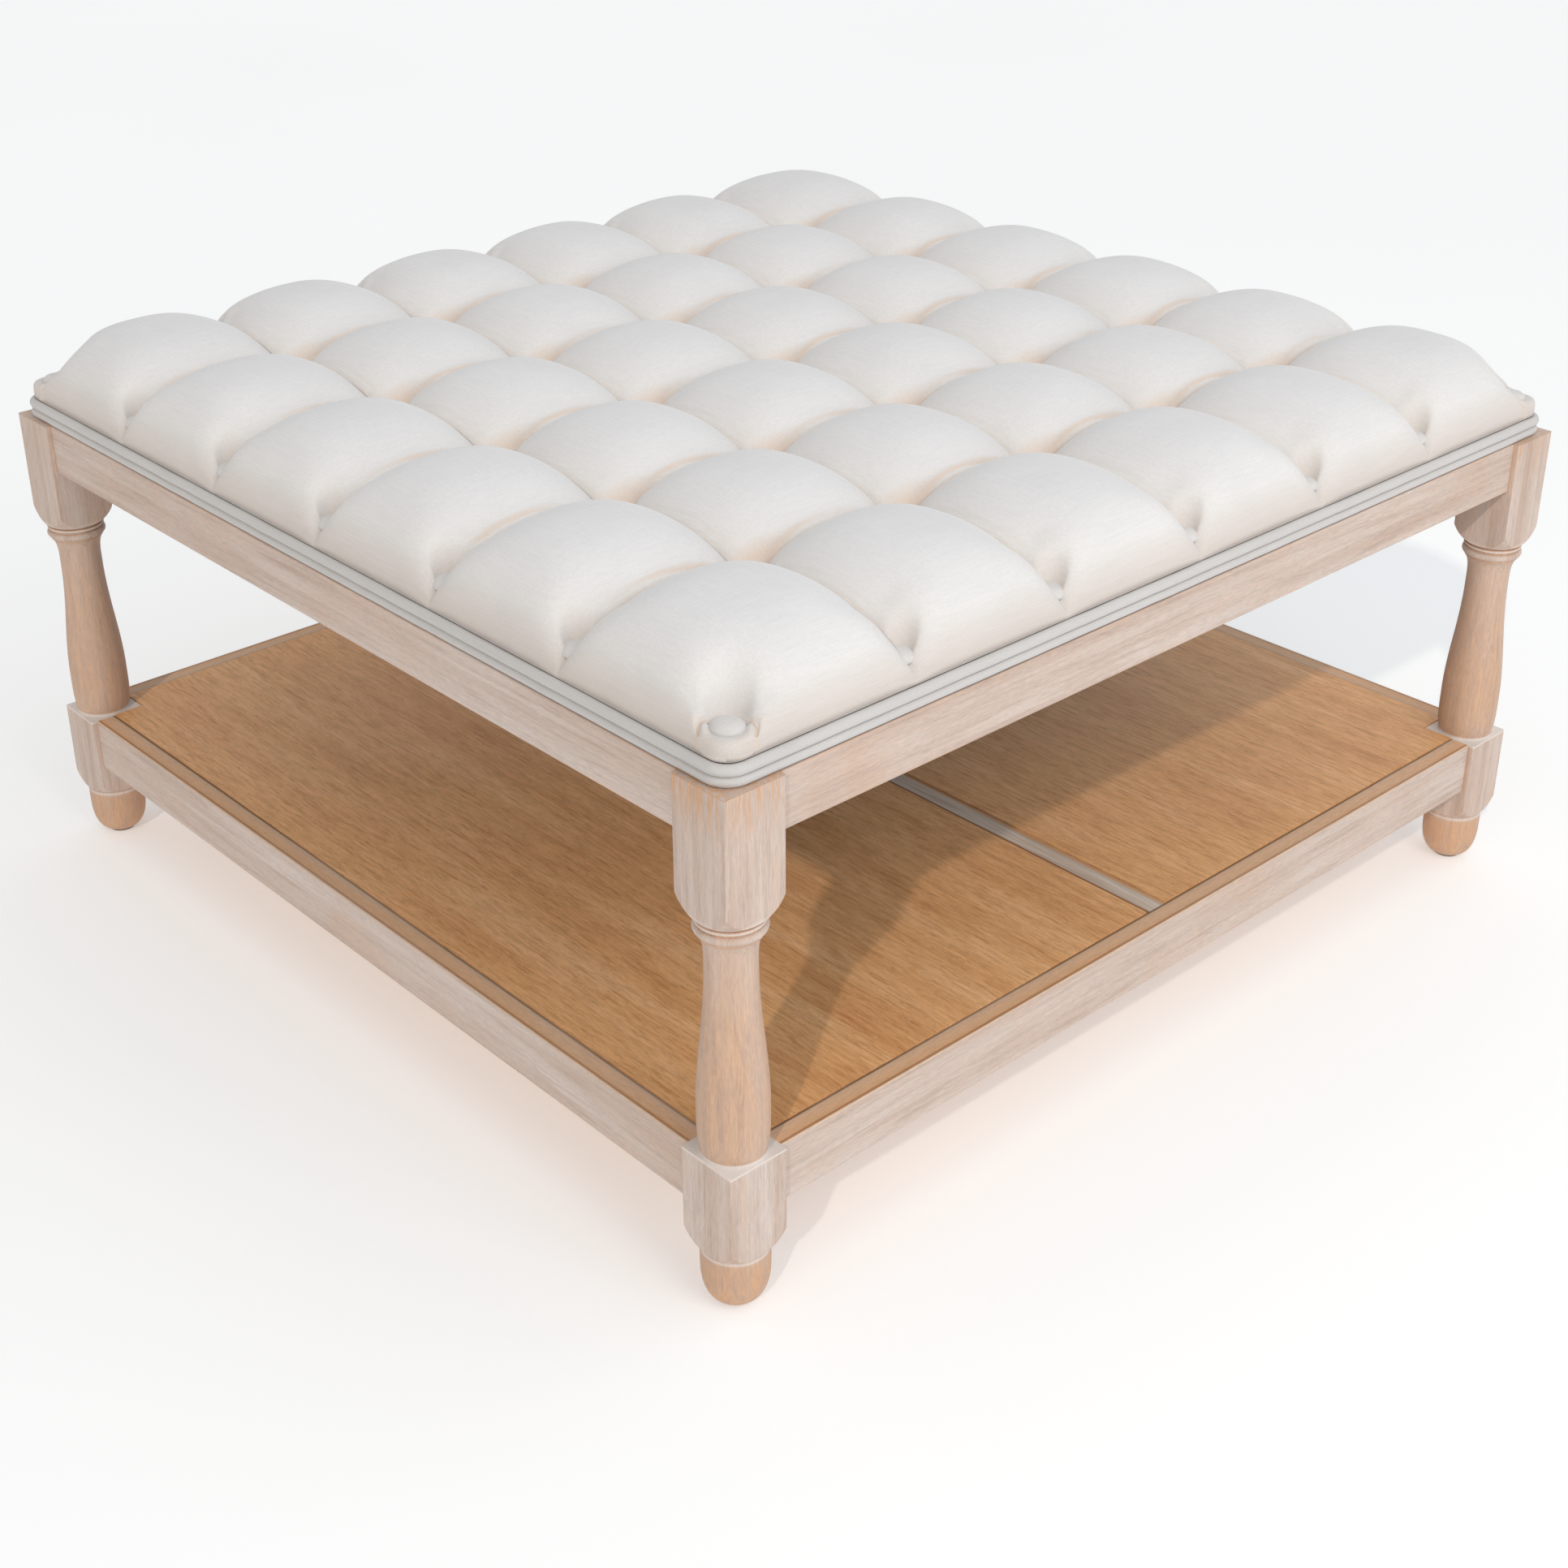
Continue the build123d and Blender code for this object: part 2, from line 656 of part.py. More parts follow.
def tuft_section(place_y, edge_x, node_z, peak_z):
    """Draws one upright section across the cover, as a row of arcs between the button lines."""
    nodes = [-button_x + index * pitch_x for index in range(tufts + 1)]
    plane = Plane(origin=(0, place_y, 0), x_dir=(1, 0, 0), z_dir=(0, -1, 0))
    with BuildSketch(plane) as section:
        with BuildLine():
            Polyline((-edge_x, lip_height), (-edge_x, cover_low), (edge_x, cover_low), (edge_x, lip_height))
            for side in (-1, 1):
                bend = (
                    side * (button_x + (edge_x - button_x) * border_bend_share),
                    lip_height + (node_z - lip_height) * border_bend_share,
                )
                ThreePointArc((side * edge_x, lip_height), bend, (side * button_x, node_z))
            for left, right in zip(nodes, nodes[1:]):
                ThreePointArc((left, node_z), ((left + right) / 2, peak_z), (right, node_z))
        make_face()
    return section.sketch


def build_cover():
    with BuildPart() as cover:
        for row in range(tufts):
            low_y = -button_y + row * pitch_y
            near = tuft_section(low_y, seat_x, button_line_height, valley_height)
            full = tuft_section(low_y + pitch_y / 2, seat_x, valley_height, height)
            far = tuft_section(low_y + pitch_y, seat_x, button_line_height, valley_height)
            loft([near, full, far])
        for side in (-1, 1):
            border = []
            for share in border_shares:
                fall = sqrt(1 - share * share)
                border.append(tuft_section(
                    side * (button_y + (seat_y - button_y) * share),
                    button_x + (seat_x - button_x) * fall,
                    lip_height + (button_line_height - lip_height) * fall,
                    lip_height + (valley_height - lip_height) * fall,
                ))
            loft(border)
        with BuildSketch(Plane.XY.offset(cover_low)):
            RectangleRounded(2 * (felt_x + soft_gap), 2 * (felt_y + soft_gap), board_corner + soft_gap)
        extrude(amount=felt_thickness + soft_gap, mode=Mode.SUBTRACT)
        well = button_diameter / 2 + button_gap
        bore(Plane.XY.offset(button_seat_height), well, height - cover_low, button_places)
        bore(Plane.XY.offset(cover_low), tie_bore / 2, height - cover_low, button_places)
    write(cover, "tufted_cover")


def build_buttons():
    with BuildPart() as buttons:
        seat = Plane.XY.offset(button_seat_height)
        peg(seat, button_diameter / 2, button_height, button_places)
        fillet(buttons.edges().group_by(Axis.Z)[-1], button_edge)
    write(buttons, "cover_buttons")
    with BuildPart() as toggles:
        toggle_low = board_low + toggle_recess - toggle_thickness
        peg(Plane.XY.offset(toggle_low), toggle_diameter / 2, toggle_thickness, button_places)
    write(toggles, "tie_toggles")
    with BuildPart() as ties:
        tie_low = board_low + toggle_recess
        peg(Plane.XY.offset(tie_low), tie_diameter / 2, button_seat_height - tie_low, button_places)
    write(ties, "button_ties")


build_legs()
build_glides()
build_aprons()
build_shelf_rails()
build_centre_rail()
build_shelf_panels()
build_dowels()
build_corner_blocks()
build_brace()
build_corner_hardware()
build_screws()
build_board()
build_welt()
build_cover()
build_buttons()
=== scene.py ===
"""Looks for the ottoman coffee table: tufted linen seat, piped edge, limed frame and oak shelf.

Everything is in metres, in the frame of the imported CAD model: +Z up, -Y the front.
"""

import math

import bmesh
import bpy
from mathutils import Matrix, Vector, noise


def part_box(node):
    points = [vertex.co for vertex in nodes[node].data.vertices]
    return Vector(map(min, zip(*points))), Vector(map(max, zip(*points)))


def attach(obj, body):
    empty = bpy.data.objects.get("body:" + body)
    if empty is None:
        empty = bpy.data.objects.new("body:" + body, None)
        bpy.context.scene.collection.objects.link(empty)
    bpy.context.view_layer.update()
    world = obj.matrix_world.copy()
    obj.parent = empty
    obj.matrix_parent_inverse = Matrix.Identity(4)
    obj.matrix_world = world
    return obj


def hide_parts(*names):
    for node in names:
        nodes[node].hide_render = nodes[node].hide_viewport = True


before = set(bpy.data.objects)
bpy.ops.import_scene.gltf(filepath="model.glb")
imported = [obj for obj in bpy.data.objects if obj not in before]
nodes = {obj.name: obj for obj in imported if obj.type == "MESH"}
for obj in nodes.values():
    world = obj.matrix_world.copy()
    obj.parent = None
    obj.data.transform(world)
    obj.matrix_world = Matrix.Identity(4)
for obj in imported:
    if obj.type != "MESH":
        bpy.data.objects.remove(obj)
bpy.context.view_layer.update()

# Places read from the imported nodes
cover_low, cover_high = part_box("tufted_cover")
buttons_low, buttons_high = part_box("cover_buttons")
welt_low, welt_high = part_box("double_welt")
cloth_low, cloth_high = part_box("under_cloth")
post_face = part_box("leg_front_right")[0].x
rail_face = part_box("shelf_rail_right")[1].x

# Buttons: seven rows each way, a pitch apart
TUFTS = 6
BUTTON_RADIUS = 0.011
BUTTON_LINE = buttons_high.x - BUTTON_RADIUS
BUTTON_FLOOR = buttons_low.z
PITCH = 2 * BUTTON_LINE / TUFTS
BUTTON_SIDES = 28
BUTTON_PROFILE = [
    (0.0, 0.0069), (0.0045, 0.0067), (0.0080, 0.0057), (0.0101, 0.0040), (0.0110, 0.0020),
    (0.0105, 0.0004), (0.0080, 0.0),
]

# Piping round the seat, and the seam just inside it
UPPER_BEAD = 0.0038
LOWER_BEAD = 0.0034
BEAD_LINE = welt_high.x - UPPER_BEAD
BEAD_CORNER = 0.0145
CORNER_CENTRE = BEAD_LINE - BEAD_CORNER
SEAM_GAP = 0.0006
SEAM_LINE = BEAD_LINE - SEAM_GAP
SEAM_Z = welt_high.z + SEAM_GAP

# Pillows: tuft is the cloth's height at a button, valley its rise halfway along a crease
CROWN = cover_high.z
TUFT_Z = BUTTON_FLOOR + 0.0015
CROWN_RISE = CROWN - TUFT_Z
VALLEY_RISE = 0.022
VALLEY_SHARE = (VALLEY_RISE / CROWN_RISE) ** 2
ROUNDNESS = 2.6
FLANK_ROUNDNESS = 3.0
PLEAT_SHARPNESS = 5
PLEAT_FADE = (0.045, 0.008)
SHOULDER = SEAM_LINE - BUTTON_LINE
ROLL_DEPTH = SHOULDER + PITCH / 2
CORNER_DIP = 0.011
CORNER_DIP_WIDTH = 0.026
CORNER_DIP_EASE = 0.012

# Wells round the buttons: how steep the cloth climbs, and the radius where it starts
CORNER_WELL = (1.8, 0.0095)
EDGE_WELL = (2.6, 0.0070)
INNER_WELL = (1.9, 0.0060)
EDGE_WELL_PINCH = 2.6
WELL_SOFTNESS = 0.0012

# Tucks: folds that run from each inner button under the next pillow
TUCK_LENGTH = 0.062
TUCK_WIDTH = 0.022
TUCK_BACK = 0.005
TUCK_DEPTH = 0.0055

# Pads between the corner buttons and the piping
PAD_HALF = 0.0165
PAD_TOP = 0.004
PAD_ROUND = 0.006
PAD_EDGE = 0.0012
PAD_RISE = 0.0130
PAD_DEPTH = 0.0090
PAD_SWELL = 0.003
PAD_LOBE = 0.0035
PAD_LOBE_PLACE = 0.0128
PAD_LOBE_WIDTH = 0.0036
PAD_LOBE_EASE = (0.003, 0.009)
PAD_PLEAT_WIDTH = 0.0013
PAD_PLEAT_DEPTH = 0.0045

# Creases, and the fold lines beside them
CREASE_DEPTH = 0.0022
CREASE_WIDTH = 0.0020
CREASE_EASE = (0.008, 0.020)
FOLD_GROOVE = (0.0058, 0.0010)
FOLD_LIP = (0.0084, 0.0014)
FOLD_GROOVE_DEPTH = 0.0013
FOLD_LIP_RISE = 0.0007
FOLD_EASE = (0.016, 0.032)
FAINT_FOLD = 0.2

# Painted warm shade in the creases, tucks, folds, button wells, seam and pad pleats, from 0 to 1, and
# how far it reaches
MAIN_CREASE_PAINTED_SHADE = 0.9
FAINT_CREASE_PAINTED_SHADE = 0.35
CREASE_PAINTED_SHADE_WIDTH = 0.0022
TUCK_PAINTED_SHADE = 0.7
TUCK_PAINTED_SHADE_FADE = (0.05, 0.03)
FOLD_PAINTED_SHADE = 0.9
BUTTON_PAINTED_SHADE = 0.35
BUTTON_PAINTED_SHADE_WIDTH = 0.014
SEAM_PAINTED_SHADE = 0.35
SEAM_PAINTED_SHADE_WIDTH = 0.010
PLEAT_PAINTED_SHADE = 0.9

# Lines of the cloth's mesh across a pillow and out to the seam, and how they crowd to creases
PILLOW_LINES = 28
SHOULDER_LINES = 12
CROWDING = 0.69

# Cloth simulation: its length, its limit, and how near a point is to what holds it
PUFF_MOMENTS = 20
MOST_PUFF = 0.007
HELD_AT_RIM = 0.0008
HELD_AT_SEAM = 0.0003
HELD_AT_CREASE = 0.0004
HELD_ROUND_BUTTON = 0.0125


def smooth(low, high, value):
    """Runs from 0 at low to 1 at high, with soft ends."""
    share = min(max((value - low) / (high - low), 0.0), 1.0)
    return share * share * (3 - 2 * share)


def ridge(place, width, centre=0.0):
    """1 at the centre, and almost 0 from two widths away."""
    return math.exp(-((place - centre) / width) ** 2)


def shade_smooth(mesh):
    for face in mesh.polygons:
        face.use_smooth = True


def finished(work, name, finish):
    """Turns the mesh work into a named object with its finish."""
    mesh = bpy.data.meshes.new(name)
    work.to_mesh(mesh)
    work.free()
    shade_smooth(mesh)
    mesh.materials.append(finish)
    piece = bpy.data.objects.new(name, mesh)
    bpy.context.scene.collection.objects.link(piece)
    return piece


# Finishes

def colour(value):
    """A grey or an RGB colour, as the four numbers of a colour socket."""
    if isinstance(value, (int, float)):
        return (value, value, value, 1.0)
    return (*value, 1.0) if len(value) == 3 else tuple(value)


def add_node(tree, kind, sockets=None, **settings):
    """A node with its settings, and with each socket linked or set."""
    made = tree.nodes.new(kind)
    for key, value in settings.items():
        setattr(made, key, value)
    for key, value in (sockets or {}).items():
        if isinstance(value, bpy.types.NodeSocket):
            tree.links.new(value, made.inputs[key])
        else:
            made.inputs[key].default_value = value
    return made


class Finish:
    """One procedural material, built node by node."""

    def __init__(self, name):
        self.material = bpy.data.materials.new(name)
        self.material.use_nodes = True
        self.tree = self.material.node_tree
        self.shader = self.tree.nodes["Principled BSDF"]

    def node(self, kind, sockets=None, **settings):
        return add_node(self.tree, kind, sockets, **settings)

    def place(self, stretch=(1, 1, 1)):
        """Object coordinates, stretched along the grain."""
        source = self.node("ShaderNodeTexCoord").outputs["Object"]
        return self.node("ShaderNodeMapping", {"Vector": source, "Scale": stretch}).outputs[0]

    def part(self, vector, axis):
        return self.node("ShaderNodeSeparateXYZ", {0: vector}).outputs[axis]

    def normal(self):
        return self.node("ShaderNodeNewGeometry").outputs["Normal"]

    def noise(self, where, scale, detail=3.0, roughness=0.5, distortion=0.0):
        return self.node("ShaderNodeTexNoise", {
            "Vector": where, "Scale": scale, "Detail": detail, "Roughness": roughness,
            "Distortion": distortion,
        }).outputs["Fac"]

    def ramp(self, share, stops):
        """Greys or colours by share, from a list of places and values."""
        made = self.node("ShaderNodeValToRGB", {"Fac": share})
        elements = made.color_ramp.elements
        while len(elements) > 1:
            elements.remove(elements[-1])
        elements[0].position = stops[0][0]
        elements[0].color = colour(stops[0][1])
        for place, value in stops[1:]:
            elements.new(place).color = colour(value)
        return made.outputs["Color"]

    def mix(self, share, first, second, blend="MIX"):
        first = first if isinstance(first, bpy.types.NodeSocket) else colour(first)
        second = second if isinstance(second, bpy.types.NodeSocket) else colour(second)
        sockets = {0: share, 6: first, 7: second}
        made = self.node("ShaderNodeMix", sockets, data_type="RGBA", blend_type=blend)
        return made.outputs[2]

    def tinted(self, skin, tint):
        return self.mix(1.0, skin, tint, "MULTIPLY")

    def math(self, operation, first, second=0.0, third=0.0, clamp=False):
        sockets = {0: first, 1: second, 2: third}
        return self.node("ShaderNodeMath", sockets, operation=operation, use_clamp=clamp).outputs[0]

    def times(self, first, second):
        return self.math("MULTIPLY", first, second)

    def most(self, first, second):
        return self.math("MAXIMUM", first, second)

    def way(self, value, start, length, clamp=False):
        """How far a value is from start, as a share of a length."""
        return self.math("MULTIPLY", self.math("SUBTRACT", value, start), 1 / length, clamp=clamp)

    def bump(self, height, distance, strength=1.0):
        sockets = {"Height": height, "Distance": distance, "Strength": strength}
        return self.node("ShaderNodeBump", sockets).outputs["Normal"]

    def surface(self, **sockets):
        for key, value in sockets.items():
            target = self.shader.inputs[key.replace("_", " ")]
            if isinstance(value, bpy.types.NodeSocket):
                self.tree.links.new(value, target)
            else:
                target.default_value = value
        return self.material


def along_grain(grain, share):
    """The scale that draws a pattern out along the grain."""
    return tuple(share if axis == grain else 1 for axis in "xyz")


def faces_up(finish):
    """1 on faces that look up, and 0 elsewhere."""
    return finish.math("GREATER_THAN", finish.part(finish.normal(), "Z"), 0.7)


def edge_wear(finish, radius):
    """1 along sharp edges and 0 on flats, from how far a softened edge turns the surface."""
    soft = finish.node("ShaderNodeBevel", {"Radius": radius}, samples=6).outputs["Normal"]
    sockets = {0: soft, 1: finish.normal()}
    turned = finish.node("ShaderNodeVectorMath", sockets, operation="DOT_PRODUCT")
    return finish.math("SUBTRACT", 1.0, turned.outputs["Value"], clamp=True)


# Limed wood: tones of the wash and of the wood under it
WASH_BANDS = [(0.30, (0.53, 0.41, 0.345)), (0.48, (0.595, 0.49, 0.43)), (0.68, (0.65, 0.565, 0.52))]
WASH_STREAKS = [(0.34, (0.86, 0.81, 0.77)), (0.50, (1.0, 0.985, 0.97)), (0.66, (1.05, 1.05, 1.05))]
WOOD_FIBRES = [(0.36, 0.90), (0.60, 1.03)]
BARE_WOOD = [(0.30, (0.46, 0.235, 0.12)), (0.70, (0.68, 0.42, 0.25))]
POOLED_WASH = (0.80, 0.77, 0.745)
JOINT_BROWN = (0.52, 0.27, 0.12)
JOINT_LINE = 0.002

# Top of a shelf rail, from its arris in to the panel
STRIP_WIDTH = 0.018
STRIP_FLOOR = 0.110
STRIP_LIGHT = (0.72, 0.58, 0.48)
STRIP_TONES = [
    (0.0, (0.80, 0.62, 0.47)), (0.07, (0.80, 0.62, 0.47)), (0.10, (0.48, 0.23, 0.10)),
    (0.17, (0.48, 0.23, 0.10)), (0.22, (0.72, 0.43, 0.24)), (0.55, (0.74, 0.47, 0.29)),
    (0.80, (0.66, 0.45, 0.31)), (0.85, (0.22, 0.13, 0.07)),
]

# Turned legs by height: how bare the wood is, and where the wash lies thick
LEG_SPAN = 0.4
LEG_RINGS = [
    (0.0, 1.0), (0.030, 1.0), (0.0405, 0.90), (0.0415, 0.05), (0.0445, 0.05), (0.0455, 0.0),
    (0.1175, 0.0), (0.1185, 0.85), (0.1200, 0.68), (0.150, 0.78), (0.215, 0.70), (0.262, 0.42),
    (0.2722, 0.35), (0.2730, 0.95), (0.2745, 0.95), (0.2752, 0.0), (0.2797, 0.0), (0.2804, 0.95),
    (0.2815, 0.95), (0.2822, 0.0), (0.2836, 0.0), (0.2843, 0.9), (0.2856, 0.9), (0.2864, 0.05),
    (0.300, 0.0),
]
LEG_POOLS = [
    (0.0405, 0.0), (0.0425, 0.5), (0.0440, 0.0), (0.1140, 0.0), (0.1156, 0.75), (0.1172, 0.75),
    (0.1182, 0.0), (0.2820, 0.0), (0.2828, 0.5), (0.2836, 0.0), (0.2858, 0.0), (0.2866, 0.5),
    (0.2890, 0.0),
]
WORN_TOP = 0.338
WORN_TOP_FADE = 0.03


def by_height(finish, height, stops):
    span = 1 / LEG_SPAN
    return finish.ramp(finish.times(height, span), [(place * span, value) for place, value in stops])


def rubbed_share(finish, streaks, patches):
    """How bare the wood is where hands and cloths have rubbed it: arrises, edges and patches."""
    sharp = finish.ramp(edge_wear(finish, 0.0013), [(0.015, 0.0), (0.12, 1.0)])
    sharp = finish.times(sharp, finish.ramp(patches, [(0.32, 0.30), (0.56, 0.95)]))
    broad = finish.ramp(edge_wear(finish, 0.007), [(0.01, 0.0), (0.25, 0.5)])
    broad = finish.times(broad, finish.ramp(streaks, [(0.42, 0.0), (0.62, 1.0)]))
    flat = finish.math("ADD", finish.times(patches, 0.55), finish.times(streaks, 0.45))
    flat = finish.ramp(flat, [(0.53, 0.0), (0.64, 0.30)])
    return finish.most(finish.most(sharp, broad), flat)


def limed_wood(name, grain, rings=None, pools=None, worn_top=None, joint=None, brown_top=None):
    """Pale wood with a white wash rubbed into the grain and worn off the arrises.

    rings and pools give the bare share and the thick wash by height on a turned leg. Above
    worn_top more of the wash is gone. joint is where a rail meets its posts. brown_top is the
    outer face of a shelf rail whose top is left brown.
    """
    finish = Finish(name)
    plain = finish.place()
    along = finish.place(along_grain(grain, 0.045))
    bands = finish.noise(along, 60, 4, 0.6, 0.5)
    streaks = finish.noise(along, 310, 5, 0.70, 0.6)
    fibres = finish.noise(finish.place(along_grain(grain, 0.12)), 1100, 3, 0.6)
    patches = finish.noise(plain, 8, 3, 0.6)
    height = finish.part(plain, "Z")
    threads = finish.ramp(fibres, WOOD_FIBRES)
    washed = finish.tinted(finish.ramp(bands, WASH_BANDS), finish.ramp(streaks, WASH_STREAKS))
    washed = finish.tinted(washed, threads)
    bare = finish.tinted(finish.ramp(streaks, BARE_WOOD), threads)
    bare_share = rubbed_share(finish, streaks, patches)
    if rings:
        turned = by_height(finish, height, rings)
        turned = finish.times(turned, finish.ramp(streaks, [(0.37, 0.48), (0.59, 1.0)]))
        bare_share = finish.most(bare_share, turned)
    if worn_top:
        upper = finish.way(height, worn_top, WORN_TOP_FADE, clamp=True)
        lost = finish.ramp(streaks, [(0.46, 0.0), (0.56, 0.95)])
        lost = finish.times(lost, finish.ramp(patches, [(0.40, 0.15), (0.54, 1.0)]))
        bare_share = finish.most(bare_share, finish.times(upper, lost))
    skin = finish.mix(bare_share, washed, bare)
    if pools:
        skin = finish.mix(by_height(finish, height, pools), skin, POOLED_WASH)
    if joint:
        place = finish.math("ABSOLUTE", finish.part(plain, grain.upper()))
        line = finish.way(place, joint - JOINT_LINE, JOINT_LINE)
        skin = finish.mix(finish.ramp(line, [(0.25, 0.0), (0.7, 0.85)]), skin, JOINT_BROWN)
    if brown_top:
        out = finish.math("ABSOLUTE", finish.part(plain, "Y" if grain == "x" else "X"))
        strip = finish.ramp(finish.way(out, brown_top, -STRIP_WIDTH), STRIP_TONES)
        light = finish.ramp(bands, [(0.46, 0.0), (0.64, 0.35)])
        strip = finish.tinted(finish.mix(light, strip, STRIP_LIGHT), threads)
        high = finish.math("GREATER_THAN", height, STRIP_FLOOR)
        skin = finish.mix(finish.times(faces_up(finish), high), skin, strip)
    relief = finish.math("ADD", streaks, finish.times(fibres, 0.4))
    pores = finish.bump(relief, 0.0004, 0.4)
    return finish.surface(Base_Color=skin, Roughness=0.60, Normal=pores)


# Shelf oak: broad figure, long lines, short threads, and pale and dark flecks
OAK_FIGURE = [(0.28, (0.68, 0.335, 0.138)), (0.5, (0.79, 0.435, 0.195)), (0.74, (0.86, 0.52, 0.275))]
OAK_LINES = [(0.36, (0.84, 0.79, 0.74)), (0.50, (1.0, 1.0, 1.0)), (0.66, (1.07, 1.07, 1.07))]
OAK_THREADS = [(0.34, (0.84, 0.79, 0.74)), (0.52, (1.0, 1.0, 1.0)), (0.70, (1.08, 1.08, 1.08))]
OAK_PALE_FLECK = (0.86, 0.62, 0.40)
OAK_DARK_FLECK = (0.42, 0.20, 0.08)


def shelf_oak(name, grain):
    """Brown oiled oak: fine straight grain with short pale and dark flecks."""
    finish = Finish(name)
    fibres = finish.noise(finish.place(along_grain(grain, 0.12)), 620, 4, 0.65, 0.2)
    lines = finish.noise(finish.place(along_grain(grain, 0.085)), 360, 4, 0.62, 0.5)
    figure = finish.noise(finish.place(along_grain(grain, 0.10)), 34, 4, 0.6, 0.9)
    flecks = finish.noise(finish.place(along_grain(grain, 0.2)), 900, 2, 0.5)
    skin = finish.tinted(finish.ramp(figure, OAK_FIGURE), finish.ramp(lines, OAK_LINES))
    skin = finish.tinted(skin, finish.ramp(fibres, OAK_THREADS))
    skin = finish.mix(finish.ramp(flecks, [(0.62, 0.0), (0.72, 0.45)]), skin, OAK_PALE_FLECK)
    skin = finish.mix(finish.ramp(flecks, [(0.28, 0.5), (0.38, 0.0)]), skin, OAK_DARK_FLECK)
    pores = finish.bump(finish.math("ADD", fibres, lines), 0.0002, 0.35)
    rough = finish.ramp(figure, [(0.3, 0.40), (0.7, 0.50)])
    return finish.surface(Base_Color=skin, Roughness=rough, Normal=pores, Specular_IOR_Level=0.5)


# Grey-washed rail between the shelf panels, with its brown joint lines, the -Y one darkened by a
# painted shadow
CENTRE_RAIL_WIDTH = 0.020
GREY_WASH = [(0.34, (0.50, 0.39, 0.31)), (0.52, (0.64, 0.54, 0.46)), (0.68, (0.72, 0.64, 0.57))]
CENTRE_JOINT_AND_SHADOW_LINES = [(0.0, 1.0), (0.10, 1.0), (0.17, 0.0), (0.80, 0.0), (0.88, 0.9), (1.0, 0.9)]
CENTRE_JOINT_TINTS_AND_PAINTED_SHADOW = [(0.06, (0.14, 0.07, 0.04)), (0.12, (0.42, 0.22, 0.10)), (0.6, (0.60, 0.34, 0.17))]


def centre_rail_wood(name, grain):
    """Grey-washed wood, with brown joint lines along the top's edges; the -Y line is darkened almost
    to black by painted shadow.
    """
    finish = Finish(name)
    fibres = finish.noise(finish.place(along_grain(grain, 0.045)), 260, 4, 0.62, 0.3)
    across = finish.part(finish.place(), "Y")
    share = finish.math("MULTIPLY_ADD", across, 1 / CENTRE_RAIL_WIDTH, 0.5)
    lines = finish.times(finish.ramp(share, CENTRE_JOINT_AND_SHADOW_LINES), faces_up(finish))
    # Painted shadow: the joint line on the -Y edge runs near-black, while the +Y one stays brown
    skin = finish.mix(lines, finish.ramp(fibres, GREY_WASH), finish.ramp(share, CENTRE_JOINT_TINTS_AND_PAINTED_SHADOW))
    pores = finish.bump(fibres, 0.0002, 0.35)
    return finish.surface(Base_Color=skin, Roughness=0.55, Normal=pores)


def bare_wood(name, pale, dark, grain):
    """The unfinished wood of the hidden blocks, dowels and board."""
    finish = Finish(name)
    fibres = finish.noise(finish.place(along_grain(grain, 0.05)), 240, 4, 0.6, 0.3)
    skin = finish.ramp(fibres, [(0.32, dark), (0.66, pale)])
    pores = finish.bump(fibres, 0.0002, 0.3)
    return finish.surface(Base_Color=skin, Roughness=0.6, Normal=pores)


# Linen, with painted shade by height from the seam (darker, warmer) to the crowns (cooler), and
# painted warm shade in its creases and hollows
THREADS_PER_METRE = 9500.0
LINEN_PAINTED_SHADE_BY_HEIGHT = [
    (0.0, (0.575, 0.562, 0.552)), (0.06, (0.57, 0.557, 0.547)), (0.22, (0.645, 0.635, 0.627)),
    (0.55, (0.745, 0.738, 0.73)), (0.95, (0.75, 0.752, 0.765)),
]
LINEN_PAINTED_WARM_SHADE = (0.74, 0.58, 0.46)
LINEN_PAINTED_WARM_SHADE_SHARE = 0.8


def linen(name):
    """Off-white linen: crossed threads with slubs, with painted shade darker toward the seam, cooler
    on the crowns and warm in the creases.
    """
    finish = Finish(name)
    where = finish.place()
    slubs_x = finish.noise(finish.place((1, 0.04, 1)), 900, 3, 0.6)
    slubs_y = finish.noise(finish.place((0.04, 1, 1)), 900, 3, 0.6)
    warp = finish.math("SINE", finish.times(finish.part(where, "X"), THREADS_PER_METRE))
    weft = finish.math("SINE", finish.times(finish.part(where, "Y"), THREADS_PER_METRE))
    slubs = finish.math("ADD", slubs_x, slubs_y)
    weave = finish.math("MULTIPLY_ADD", finish.times(warp, weft), 0.25, slubs)
    rise = finish.way(finish.part(where, "Z"), SEAM_Z, CROWN - SEAM_Z, clamp=True)
    clouds = finish.ramp(finish.noise(where, 14, 3, 0.5), [(0.3, 0.975), (0.7, 1.015)])
    # Painted shade: the linen is darker and warmer toward the seam, and cooler on the crowns
    skin = finish.tinted(finish.ramp(rise, LINEN_PAINTED_SHADE_BY_HEIGHT), clouds)
    # Painted warm shade in the creases, tucks, folds, button wells, seam and pad pleats
    painted_crease_shade = finish.node("ShaderNodeAttribute", attribute_name="painted_crease_shade").outputs["Fac"]
    skin = finish.mix(finish.times(painted_crease_shade, LINEN_PAINTED_WARM_SHADE_SHARE), skin, LINEN_PAINTED_WARM_SHADE)
    skin = finish.tinted(skin, finish.ramp(finish.times(weave, 0.5), [(0.36, 0.93), (0.62, 1.02)]))
    return finish.surface(
        Base_Color=skin, Roughness=0.88, Sheen_Weight=0.25, Sheen_Roughness=0.45,
        Normal=finish.bump(weave, 0.0002, 0.25),
    )


